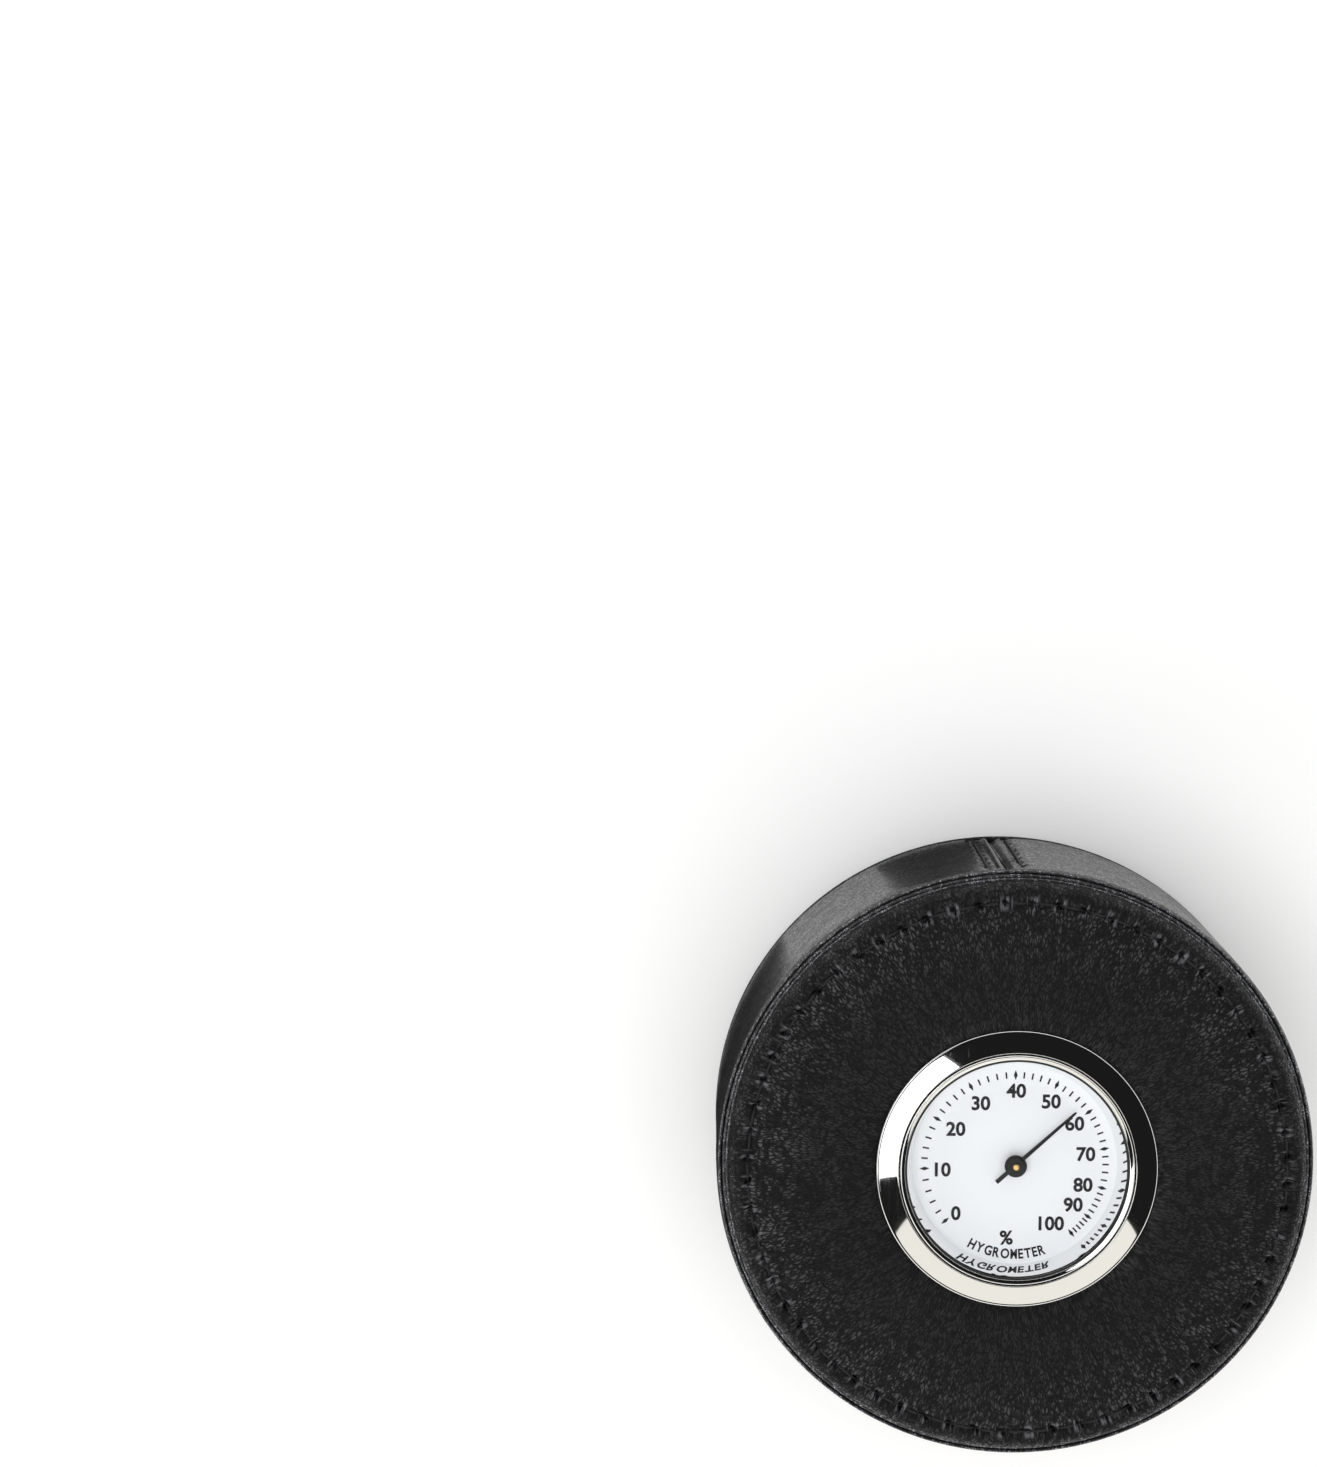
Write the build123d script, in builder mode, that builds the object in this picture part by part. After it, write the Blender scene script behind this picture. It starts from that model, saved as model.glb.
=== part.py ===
from build123d import *
import math
import os

# A dial hygrometer set in the leather-covered round cap of a travel case.
# Millimetres. The cap stands on its open rim at z = 0, the dial faces +Z and its
# 12 o'clock is +Y. The vertical axis runs through the pointer shaft.

# ---------------------------------------------------------------- driving sizes

CAP_RADIUS = 47.0            # outside of the side leather
FACE_HEIGHT = 41.0           # crown of the face leather above the rim
LEATHER = 1.0                # thickness of the covering leather
GAP = 0.05                   # glue line between neighbouring pieces
BORE_RADIUS = 43.0           # lined skirt, slides over the collar of the case
BORE_DEPTH = 14.0            # how far the collar goes in
LINER_RADIUS = 39.6          # inside of the cedar liner above the collar
RIM_THICKNESS = 1.2          # leather turned over the rim
EDGE_HEIGHT = 37.0           # top of the side leather, beside the welt
CEILING_HEIGHT = 32.4        # underside of the cedar ceiling
BOARD_HEIGHT = 35.4          # underside of the top board
PAD_HEIGHT = 38.45           # underside of the foam pad
STITCH_RADIUS = 42.0         # circle of stitches on the face
FACE_DIP = 40.4              # height of the face at the stitches
CROWN_INNER = 27.0           # the face is level between these two radii
CROWN_OUTER = 36.0
ROLL_RADIUS = 45.4           # outside of the rolled edge of the face
BOARD_RADIUS = 45.7          # outside of the top board
LINING = 0.8                 # thickness of the pile lining
EDGE_ROUND = 0.5             # rounding of the leather edges
STITCH_COUNT = 64
SEAM_ANGLE = 92.0            # butt seam of the side leather
SEAM_ROW_OFFSET = 2.7        # distance of each row of stitches from the seam

TRIM_RADIUS = 21.93          # chrome trim ring, outer edge
SLEEVE_RADIUS = 19.0         # its sleeve through the board and the ceiling
HOLE_RADIUS = SLEEVE_RADIUS + 4 * GAP
SLEEVE_BORE = 17.9
SHOULDER_HEIGHT = 38.95      # ledge that the bezel sits on
SEAT_RADIUS = 18.45          # bore above the ledge, round the bezel

BEZEL_RADIUS = 18.26         # 36.5 mm instrument bezel
BEZEL_TOP = FACE_HEIGHT + 0.34
LIP_RADIUS = 17.5            # visible opening of the bezel
GLASS_TOP = FACE_HEIGHT - 0.1
GLASS_THICKNESS = 1.0
DIAL_TOP = FACE_HEIGHT - 4.4
WALL_RADIUS = 16.0           # polished wall where it stands on the dial
HEAD_RADIUS = 17.7           # wide front part of the case can
CAN_RADIUS = 16.9            # narrower rear part of the case can
CAN_WALL = 0.35
CAN_BOTTOM = 28.5
STEP_HEIGHT = 35.4           # where the can steps out to its wide part

SHAFT_RADIUS = 0.5
RUNNING = 0.05               # radial clearance of the shafts
POINTER_ANGLE = 42.0         # reads 58 percent
NEEDLE_TIP = 12.7
NEEDLE_TAIL = 4.0
NEEDLE_HEIGHT = 37.55
MARK_RADIUS = 14.2
MARK_THICKNESS = 0.05
MAJOR_ANGLES = (220, 183, 149.5, 119.5, 90, 63, 36, 10, -15.5, -36, -51)

COIL_INNER = 1.85
COIL_OUTER = 7.45
COIL_TURNS = 4.25
COIL_STRIP = 0.25
COIL_BOTTOM = 32.3
COIL_TOP = 35.0
POST_RADIUS = 0.45
ARM_HEIGHT = 31.35


# ---------------------------------------------------------------- shared helpers


def turned_section(*points):
    """A face in the XZ plane bounded by straight lines, given as (radius, height)."""
    with BuildSketch(Plane.XZ) as outline:
        with BuildLine():
            Polyline(*points, close=True)
        make_face()
    return outline.sketch


def ring_section(inner, outer, bottom, top):
    """A rectangular section of a ring."""
    return turned_section((inner, bottom), (outer, bottom), (outer, top), (inner, top))


def on_circle(radius, angle):
    """The point of a circle about the axis at an angle in degrees."""
    turn = math.radians(angle)
    return (radius * math.cos(turn), radius * math.sin(turn))


def save(piece, name):
    """Label a finished piece and write it as its own STEP file."""
    piece.part.label = name
    export_step(piece.part, f"parts/{name}.step")


os.makedirs("parts", exist_ok=True)

# ---------------------------------------------------------------- cap: skirt and walls

with BuildPart() as rim_binding:
    revolve(ring_section(BORE_RADIUS, CAP_RADIUS, 0, RIM_THICKNESS), axis=Axis.Z)
    fillet(rim_binding.edges().filter_by(GeomType.CIRCLE).group_by(Axis.Z)[0], radius=EDGE_ROUND)
save(rim_binding, "rim_binding")

WALL_INNER = BORE_RADIUS + LINING + GAP
WALL_OUTER = CAP_RADIUS - LEATHER - GAP

with BuildPart() as wall_tube:
    revolve(
        ring_section(WALL_INNER, WALL_OUTER, RIM_THICKNESS + GAP, BOARD_HEIGHT - GAP),
        axis=Axis.Z,
    )
save(wall_tube, "wall_tube")

with BuildPart() as skirt_lining:
    revolve(
        ring_section(BORE_RADIUS, WALL_INNER - GAP, RIM_THICKNESS + GAP, BORE_DEPTH),
        axis=Axis.Z,
    )
save(skirt_lining, "skirt_lining")

SIDE_INNER = CAP_RADIUS - LEATHER
SIDE_BOTTOM = RIM_THICKNESS + GAP
SEAM_GAP = 0.3
SHOULDER_ROLL = 2.1          # height of the rounded top of the side leather
GROOVE_WIDTH = 1.3
GROOVE_DEPTH = 0.45
GROOVE_TOP = 34.0

with BuildPart() as side_leather:
    with BuildSketch(Plane.XZ):
        with BuildLine():
            Polyline(
                (CAP_RADIUS - EDGE_ROUND, EDGE_HEIGHT),
                (SIDE_INNER + GAP, EDGE_HEIGHT),
                (SIDE_INNER, EDGE_HEIGHT - EDGE_ROUND),
                (SIDE_INNER, SIDE_BOTTOM),
                (CAP_RADIUS, SIDE_BOTTOM),
                (CAP_RADIUS, EDGE_HEIGHT - SHOULDER_ROLL),
            )
            TangentArc(
                (CAP_RADIUS, EDGE_HEIGHT - SHOULDER_ROLL),
                (CAP_RADIUS - EDGE_ROUND, EDGE_HEIGHT),
                tangent=(0, 1),
            )
        make_face()
    revolve(axis=Axis.Z)
    # the butt seam, open all the way through
    with BuildSketch(Plane.XY.offset(SIDE_BOTTOM).rotated((0, 0, SEAM_ANGLE))):
        with Locations((CAP_RADIUS - LEATHER / 2, 0)):
            Rectangle(3 * LEATHER, SEAM_GAP)
    extrude(amount=EDGE_HEIGHT, mode=Mode.SUBTRACT)
    # two grooves that the rows of stitches lie in
    with BuildSketch(Plane.XY.offset(SIDE_BOTTOM + 1).rotated((0, 0, SEAM_ANGLE))):
        with Locations((CAP_RADIUS, SEAM_ROW_OFFSET), (CAP_RADIUS, -SEAM_ROW_OFFSET)):
            Rectangle(2 * GROOVE_DEPTH, GROOVE_WIDTH)
    extrude(amount=GROOVE_TOP - SIDE_BOTTOM, mode=Mode.SUBTRACT)
save(side_leather, "side_leather")

# plain upright stitches in both grooves
SEAM_PITCH = 4.1
SEAM_START = 4.0             # foot of the lowest stitches
STITCH_SHARE = 0.7           # length of a stitch against the pitch
SEAM_COUNT = 7
SEAM_THREAD = 0.15
SEAM_THREAD_RADIUS = CAP_RADIUS - GROOVE_DEPTH + SEAM_THREAD + 0.02

with BuildPart() as seam_stitching:
    with BuildSketch(Plane.XY.offset(SEAM_START).rotated((0, 0, SEAM_ANGLE))):
        with Locations(
            (SEAM_THREAD_RADIUS, SEAM_ROW_OFFSET), (SEAM_THREAD_RADIUS, -SEAM_ROW_OFFSET)
        ):
            Circle(SEAM_THREAD)
    extrude(amount=STITCH_SHARE * SEAM_PITCH)
    stitch_pair = seam_stitching.part
    for step in range(1, SEAM_COUNT):
        add(stitch_pair.moved(Location((0, 0, step * SEAM_PITCH))))
save(seam_stitching, "seam_stitching")

WELT_RADIUS = 0.27
WELT_INSET = 0.28
WELT_CENTRE = (SIDE_INNER - WELT_INSET, EDGE_HEIGHT - WELT_INSET)

with BuildPart() as edge_welt:
    with BuildSketch(Plane.XZ):
        with Locations(WELT_CENTRE):
            Circle(WELT_RADIUS)
    revolve(axis=Axis.Z)
save(edge_welt, "edge_welt")

# ---------------------------------------------------------------- cap: face and ceiling

ROLL_BOTTOM = EDGE_HEIGHT + GAP
FACE_BORE = HOLE_RADIUS + 0.1
TUCK_RADIUS = 22.0           # where the face leather rises beside the trim ring
TUCK_HEIGHT = 40.15          # leather under the flange of the trim ring

with BuildPart() as face_leather:
    with BuildSketch(Plane.XZ):
        with BuildLine():
            Line((FACE_BORE, TUCK_HEIGHT - LEATHER), (FACE_BORE, TUCK_HEIGHT))
            Line((FACE_BORE, TUCK_HEIGHT), (TUCK_RADIUS, TUCK_HEIGHT))
            Spline(
                (TUCK_RADIUS, TUCK_HEIGHT),
                (23.5, 40.7),
                (CROWN_INNER, FACE_HEIGHT),
                (CROWN_OUTER, FACE_HEIGHT),
                (40.3, 40.85),
                (STITCH_RADIUS, FACE_DIP),
                (43.4, 40.65),
                (44.5, 40.1),
                (45.2, 38.9),
                (ROLL_RADIUS, ROLL_BOTTOM),
            )
            Line((ROLL_RADIUS, ROLL_BOTTOM), (ROLL_RADIUS - LEATHER, ROLL_BOTTOM))
            Spline(
                (ROLL_RADIUS - LEATHER, ROLL_BOTTOM),
                (44.2, 38.3),
                (43.6, 39.15),
                (42.9, 39.5),
                (STITCH_RADIUS, FACE_DIP - LEATHER),
                (40.0, 39.85),
                (CROWN_OUTER, FACE_HEIGHT - LEATHER),
                (CROWN_INNER, FACE_HEIGHT - LEATHER),
                (23.8, 39.65),
                (TUCK_RADIUS - 0.1, TUCK_HEIGHT - LEATHER),
            )
            Line((TUCK_RADIUS - 0.1, TUCK_HEIGHT - LEATHER), (FACE_BORE, TUCK_HEIGHT - LEATHER))
        make_face()
    revolve(axis=Axis.Z)
save(face_leather, "face_leather")

STITCH_THREAD = 0.2
STITCH_LENGTH = STITCH_SHARE * 2 * math.pi * STITCH_RADIUS / STITCH_COUNT
STITCH_HEIGHT = FACE_DIP + STITCH_THREAD + 0.04

with BuildPart() as face_stitching:
    with BuildSketch(Plane.XZ.offset(-STITCH_LENGTH / 2)):
        with Locations((STITCH_RADIUS, STITCH_HEIGHT)):
            Circle(STITCH_THREAD)
    extrude(amount=STITCH_LENGTH)
    stitch = face_stitching.part
    with PolarLocations(0, STITCH_COUNT - 1, start_angle=360 / STITCH_COUNT,
                        angular_range=360 - 360 / STITCH_COUNT):
        add(stitch)
save(face_stitching, "face_stitching")

PAD_TOP = FACE_HEIGHT - LEATHER - 0.15
PAD_TUCK = TUCK_HEIGHT - LEATHER - 0.1
PAD_RADIUS = 43.7

with BuildPart() as foam_pad:
    revolve(
        turned_section(
            (FACE_BORE, PAD_HEIGHT),
            (PAD_RADIUS, PAD_HEIGHT),
            (PAD_RADIUS - 0.4, PAD_HEIGHT + 0.5),
            (STITCH_RADIUS, FACE_DIP - LEATHER - 0.1),
            (38.0, PAD_TOP),
            (CROWN_INNER, PAD_TOP),
            (TUCK_RADIUS + 0.6, PAD_TUCK),
            (FACE_BORE, PAD_TUCK),
        ),
        axis=Axis.Z,
    )
save(foam_pad, "foam_pad")

BOARD_STEP_RADIUS = 44.2      # raised middle that the face leather is rolled round
BOARD_STEP_HEIGHT = EDGE_HEIGHT - 0.6

with BuildPart() as top_board:
    revolve(
        turned_section(
            (HOLE_RADIUS, BOARD_HEIGHT),
            (BOARD_RADIUS, BOARD_HEIGHT),
            (BOARD_RADIUS, BOARD_STEP_HEIGHT),
            (BOARD_STEP_RADIUS, BOARD_STEP_HEIGHT),
            (BOARD_STEP_RADIUS, EDGE_HEIGHT + 0.3),
            (PAD_RADIUS - 0.4, PAD_HEIGHT - GAP),
            (HOLE_RADIUS, PAD_HEIGHT - GAP),
        ),
        axis=Axis.Z,
    )
save(top_board, "top_board")

with BuildPart() as cedar_ceiling:
    revolve(
        ring_section(HOLE_RADIUS, WALL_INNER - GAP, CEILING_HEIGHT, BOARD_HEIGHT - GAP),
        axis=Axis.Z,
    )
save(cedar_ceiling, "cedar_ceiling")

with BuildPart() as cedar_liner:
    revolve(
        ring_section(LINER_RADIUS, WALL_INNER - GAP, BORE_DEPTH + GAP, CEILING_HEIGHT - GAP),
        axis=Axis.Z,
    )
    liner_foot = cedar_liner.edges().filter_by(GeomType.CIRCLE).group_by(Axis.Z)[0]
    fillet(liner_foot.sort_by(SortBy.RADIUS)[0], radius=1.0)
save(cedar_liner, "cedar_liner")

# ---------------------------------------------------------------- trim ring and its nut

FLANGE_BOTTOM = TUCK_HEIGHT + GAP
SLEEVE_BOTTOM = 29.2
SLOPE_TOP = 41.2             # inner end of the sloping front of the ring
SLOPE_FOOT = 40.5            # outer end of it
SLOPE_FOOT_RADIUS = 21.62

with BuildPart() as trim_ring:
    with BuildSketch(Plane.XZ):
        with BuildLine():
            Polyline(
                (SLOPE_FOOT_RADIUS, SLOPE_FOOT),
                (SLOPE_FOOT_RADIUS + 0.08, SLOPE_FOOT - 0.04),
            )
            ThreePointArc(
                (SLOPE_FOOT_RADIUS + 0.08, SLOPE_FOOT - 0.04),
                (TRIM_RADIUS - 0.03, SLOPE_FOOT - 0.08),
                (TRIM_RADIUS, SLOPE_FOOT - 0.2),
            )
            Polyline(
                (TRIM_RADIUS, SLOPE_FOOT - 0.2),
                (TRIM_RADIUS, FLANGE_BOTTOM),
                (SLEEVE_RADIUS, FLANGE_BOTTOM),
                (SLEEVE_RADIUS, SLEEVE_BOTTOM),
                (SLEEVE_BORE, SLEEVE_BOTTOM),
                (SLEEVE_BORE, SHOULDER_HEIGHT),
                (SEAT_RADIUS, SHOULDER_HEIGHT),
                (SEAT_RADIUS, SLOPE_TOP - 0.1),
                (SEAT_RADIUS + 0.1, SLOPE_TOP),
            )
            ThreePointArc((SEAT_RADIUS + 0.1, SLOPE_TOP), (20.1, 40.92), (SLOPE_FOOT_RADIUS, SLOPE_FOOT))
        make_face()
    revolve(axis=Axis.Z)
save(trim_ring, "trim_ring")

NUT_BOTTOM = 29.7
NUT_RADIUS = 22.6
NOTCH_RADIUS = 1.3
NOTCH_DEPTH = 4
WASHER_RADIUS = 24.0
WASHER_THICKNESS = 0.4

with BuildPart() as nut_washer:
    revolve(
        ring_section(
            SLEEVE_RADIUS + GAP,
            WASHER_RADIUS,
            CEILING_HEIGHT - GAP - WASHER_THICKNESS,
            CEILING_HEIGHT - GAP,
        ),
        axis=Axis.Z,
    )
save(nut_washer, "nut_washer")

with BuildPart() as ring_nut:
    revolve(
        ring_section(
            SLEEVE_RADIUS + GAP,
            NUT_RADIUS,
            NUT_BOTTOM,
            CEILING_HEIGHT - 2 * GAP - WASHER_THICKNESS,
        ),
        axis=Axis.Z,
    )
    nut_edges = ring_nut.edges().filter_by(GeomType.CIRCLE).group_by(Axis.Z)[0]
    chamfer(nut_edges.sort_by(SortBy.RADIUS)[-1], length=EDGE_ROUND)
    # finger notches round the outside
    with BuildSketch(Plane.XY.offset(NUT_BOTTOM)):
        with PolarLocations(NUT_RADIUS + 0.6, 12):
            Circle(NOTCH_RADIUS)
    extrude(amount=NOTCH_DEPTH, mode=Mode.SUBTRACT)
save(ring_nut, "ring_nut")

# ---------------------------------------------------------------- instrument: case and glass

VENT_RADIUS = 15.5           # opening in the back of the case

with BuildPart() as case_can:
    revolve(
        turned_section(
            (VENT_RADIUS, CAN_BOTTOM),
            (CAN_RADIUS - 0.3, CAN_BOTTOM),
            (CAN_RADIUS, CAN_BOTTOM + 0.3),
            (CAN_RADIUS, STEP_HEIGHT),
            (HEAD_RADIUS, STEP_HEIGHT),
            (HEAD_RADIUS, GLASS_TOP - GLASS_THICKNESS - GAP),
            (HEAD_RADIUS - CAN_WALL, GLASS_TOP - GLASS_THICKNESS - GAP),
            (HEAD_RADIUS - CAN_WALL, STEP_HEIGHT + CAN_WALL),
            (CAN_RADIUS - CAN_WALL, STEP_HEIGHT + CAN_WALL),
            (CAN_RADIUS - CAN_WALL, CAN_BOTTOM + CAN_WALL),
            (VENT_RADIUS, CAN_BOTTOM + CAN_WALL),
        ),
        axis=Axis.Z,
    )
save(case_can, "case_can")

GRIP_BOTTOM = 33.4
GRIP_TOP = 35.0

with BuildPart() as friction_ring:
    revolve(ring_section(CAN_RADIUS + 0.02, SLEEVE_BORE - 0.08, GRIP_BOTTOM, GRIP_TOP), axis=Axis.Z)
    fillet(friction_ring.edges().filter_by(GeomType.CIRCLE), radius=0.3)
save(friction_ring, "friction_ring")

LIP_TOP = BEZEL_TOP - 0.18
LIP_BOTTOM = GLASS_TOP + 0.15
BEZEL_EDGE = BEZEL_TOP - 0.3

with BuildPart() as bezel:
    with BuildSketch(Plane.XZ):
        with BuildLine():
            Polyline(
                (LIP_RADIUS, LIP_TOP),
                (LIP_RADIUS, LIP_BOTTOM),
                (HEAD_RADIUS + GAP, LIP_BOTTOM),
                (HEAD_RADIUS + GAP, SHOULDER_HEIGHT + GAP),
                (BEZEL_RADIUS, SHOULDER_HEIGHT + GAP),
                (BEZEL_RADIUS, BEZEL_EDGE),
            )
            ThreePointArc(
                (BEZEL_RADIUS, BEZEL_EDGE),
                (BEZEL_RADIUS - 0.36, BEZEL_TOP),
                (LIP_RADIUS, LIP_TOP),
            )
        make_face()
    revolve(axis=Axis.Z)
save(bezel, "bezel")

with BuildPart() as crystal_gasket:
    revolve(
        ring_section(LIP_RADIUS - 0.2, HEAD_RADIUS, GLASS_TOP + 0.02, GLASS_TOP + 0.13),
        axis=Axis.Z,
    )
save(crystal_gasket, "crystal_gasket")

with BuildPart() as crystal:
    with BuildSketch(Plane.XY.offset(GLASS_TOP - GLASS_THICKNESS)):
        Circle(HEAD_RADIUS - 0.02)
    extrude(amount=GLASS_THICKNESS)
    chamfer(crystal.edges().filter_by(GeomType.CIRCLE), length=0.1)
save(crystal, "crystal")

WALL_TOP_RADIUS = 17.15

with BuildPart() as polished_wall:
    revolve(
        turned_section(
            (WALL_RADIUS, DIAL_TOP + 0.01),
            (WALL_RADIUS + 0.18, DIAL_TOP + 0.01),
            (WALL_TOP_RADIUS + 0.18, GLASS_TOP - GLASS_THICKNESS - GAP),
            (WALL_TOP_RADIUS, GLASS_TOP - GLASS_THICKNESS - GAP),
        ),
        axis=Axis.Z,
    )
save(polished_wall, "polished_wall")

# ---------------------------------------------------------------- instrument: dial

BUSH_RADIUS = 1.15
DIAL_SHEET = 0.2
PLATE_BOTTOM = STEP_HEIGHT + CAN_WALL + 0.02
PLATE_TOP = DIAL_TOP - DIAL_SHEET - 0.02
RIVET_RADIUS = 0.6
RIVET_DISTANCE = 14.1

with BuildPart() as dial_plate:
    with BuildSketch(Plane.XY.offset(DIAL_TOP - DIAL_SHEET)):
        Circle(HEAD_RADIUS - CAN_WALL - 0.03)
        Circle(BUSH_RADIUS + 0.1, mode=Mode.SUBTRACT)
    extrude(amount=DIAL_SHEET)
save(dial_plate, "dial_plate")

with BuildPart() as base_plate:
    with BuildSketch(Plane.XY.offset(PLATE_BOTTOM)):
        Circle(HEAD_RADIUS - CAN_WALL - 0.03)
        Circle(BUSH_RADIUS + 0.02, mode=Mode.SUBTRACT)
        with Locations((RIVET_DISTANCE, 0), (-RIVET_DISTANCE, 0)):
            Circle(RIVET_RADIUS + 0.02, mode=Mode.SUBTRACT)
    extrude(amount=PLATE_TOP - PLATE_BOTTOM)
save(base_plate, "base_plate")

DIAMOND_LENGTH = 1.6
DIAMOND_WIDTH = 0.6
MINOR_LENGTH = 1.0
MINOR_WIDTH = 0.26
MINOR_STEPS = 5

with BuildPart() as scale_marks:
    for position, start in enumerate(MAJOR_ANGLES):
        with BuildSketch(Plane.XY.offset(DIAL_TOP + 0.01).rotated((0, 0, start))):
            with BuildLine():
                Polyline(
                    (MARK_RADIUS - DIAMOND_LENGTH / 2, 0),
                    (MARK_RADIUS, DIAMOND_WIDTH / 2),
                    (MARK_RADIUS + DIAMOND_LENGTH / 2, 0),
                    (MARK_RADIUS, -DIAMOND_WIDTH / 2),
                    close=True,
                )
            make_face()
        extrude(amount=MARK_THICKNESS)
        if position == len(MAJOR_ANGLES) - 1:
            break
        span = MAJOR_ANGLES[position + 1] - start
        for step in range(1, MINOR_STEPS):
            angle = start + span * step / MINOR_STEPS
            with BuildSketch(Plane.XY.offset(DIAL_TOP + 0.01).rotated((0, 0, angle))):
                with Locations((MARK_RADIUS, 0)):
                    Rectangle(MINOR_LENGTH, MINOR_WIDTH)
            extrude(amount=MARK_THICKNESS)
save(scale_marks, "scale_marks")

# ---------------------------------------------------------------- instrument: movement frame

with BuildPart() as front_bush:
    revolve(
        ring_section(SHAFT_RADIUS + RUNNING, BUSH_RADIUS, PLATE_BOTTOM - 0.4, DIAL_TOP + 0.25),
        axis=Axis.Z,
    )
save(front_bush, "front_bush")

BRIDGE_BOTTOM = 30.3
BRIDGE_SHEET = 0.5
BRIDGE_WIDTH = 5.0
LEG_DISTANCE = 12.2
FOOT_END = 15.6
REAR_BUSH_RADIUS = 2.6
REAR_BUSH_NECK = 2.0         # the part of the rear bush that goes through the bridge
FOOT_TOP = PLATE_BOTTOM - 0.02

with BuildPart() as movement_bridge:
    with BuildSketch(Plane.XZ.offset(-BRIDGE_WIDTH / 2)):
        with BuildLine():
            Polyline(
                (-FOOT_END, FOOT_TOP - BRIDGE_SHEET),
                (-LEG_DISTANCE, FOOT_TOP - BRIDGE_SHEET),
                (-LEG_DISTANCE, BRIDGE_BOTTOM),
                (LEG_DISTANCE, BRIDGE_BOTTOM),
                (LEG_DISTANCE, FOOT_TOP - BRIDGE_SHEET),
                (FOOT_END, FOOT_TOP - BRIDGE_SHEET),
                (FOOT_END, FOOT_TOP),
                (LEG_DISTANCE - BRIDGE_SHEET, FOOT_TOP),
                (LEG_DISTANCE - BRIDGE_SHEET, BRIDGE_BOTTOM + BRIDGE_SHEET),
                (-LEG_DISTANCE + BRIDGE_SHEET, BRIDGE_BOTTOM + BRIDGE_SHEET),
                (-LEG_DISTANCE + BRIDGE_SHEET, FOOT_TOP),
                (-FOOT_END, FOOT_TOP),
                close=True,
            )
        make_face()
    extrude(amount=BRIDGE_WIDTH)
    with BuildSketch(Plane.XY.offset(BRIDGE_BOTTOM - 1)):
        Circle(REAR_BUSH_NECK + 0.02)
        with Locations((RIVET_DISTANCE, 0), (-RIVET_DISTANCE, 0)):
            Circle(RIVET_RADIUS + 0.02)
    extrude(amount=8, mode=Mode.SUBTRACT)
save(movement_bridge, "movement_bridge")

RIVET_HEAD_RADIUS = 1.1
RIVET_HEAD = 0.4             # thickness of the rivet head

with BuildPart() as bridge_rivets:
    foot_bottom = FOOT_TOP - BRIDGE_SHEET
    with BuildSketch(Plane.XY.offset(foot_bottom - RIVET_HEAD - 0.02)):
        with Locations((RIVET_DISTANCE, 0), (-RIVET_DISTANCE, 0)):
            Circle(RIVET_HEAD_RADIUS)
    extrude(amount=RIVET_HEAD)
    with BuildSketch(Plane.XY.offset(foot_bottom - 0.1)):
        with Locations((RIVET_DISTANCE, 0), (-RIVET_DISTANCE, 0)):
            Circle(RIVET_RADIUS)
    extrude(amount=PLATE_TOP - 0.02 - foot_bottom + 0.1)
save(bridge_rivets, "bridge_rivets")

STUD_RADIUS = 1.4
BUSH_BOTTOM = 29.9
BUSH_TOP = 31.2

with BuildPart() as rear_bush:
    revolve(
        turned_section(
            (STUD_RADIUS + RUNNING, BUSH_BOTTOM),
            (REAR_BUSH_RADIUS, BUSH_BOTTOM),
            (REAR_BUSH_RADIUS, BRIDGE_BOTTOM - 0.02),
            (REAR_BUSH_NECK, BRIDGE_BOTTOM - 0.02),
            (REAR_BUSH_NECK, BUSH_TOP),
            (STUD_RADIUS + RUNNING, BUSH_TOP),
        ),
        axis=Axis.Z,
    )
save(rear_bush, "rear_bush")

# ---------------------------------------------------------------- instrument: vented back

HEAD_OF_STUD_RADIUS = 2.2
COVER_BOTTOM = CAN_BOTTOM + CAN_WALL + 0.03
COVER_SHEET = 0.4
VENT_COUNT = 10
VENT_DISTANCE = 9.2          # from the axis to the middle of a slot
VENT_LENGTH = 7.0
VENT_WIDTH = 1.7

with BuildPart() as back_cover:
    with BuildSketch(Plane.XY.offset(COVER_BOTTOM)):
        Circle(CAN_RADIUS - CAN_WALL - 0.03)
        Circle(HEAD_OF_STUD_RADIUS + 0.1, mode=Mode.SUBTRACT)
        with PolarLocations(VENT_DISTANCE, VENT_COUNT):
            SlotOverall(VENT_LENGTH, VENT_WIDTH, mode=Mode.SUBTRACT)
    extrude(amount=COVER_SHEET)
save(back_cover, "back_cover")

GAUZE_BORE = 3.0
GAUZE_SHEET = 0.15
GAUZE_BOTTOM = COVER_BOTTOM + COVER_SHEET + 0.02

with BuildPart() as vent_gauze:
    revolve(
        ring_section(
            GAUZE_BORE,
            CAN_RADIUS - CAN_WALL - 0.03,
            GAUZE_BOTTOM,
            GAUZE_BOTTOM + GAUZE_SHEET,
        ),
        axis=Axis.Z,
    )
save(vent_gauze, "vent_gauze")

# ---------------------------------------------------------------- calibrator

STUD_BOTTOM = 28.2
PIVOT_DEPTH_HEIGHT = 30.4
SHOULDER_TOP = ARM_HEIGHT - 0.04
NECK_RADIUS = STUD_RADIUS - 0.3
NECK_TOP = ARM_HEIGHT + 0.5
SLOT_WIDTH = 0.6
SLOT_DEPTH = 0.7

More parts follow.
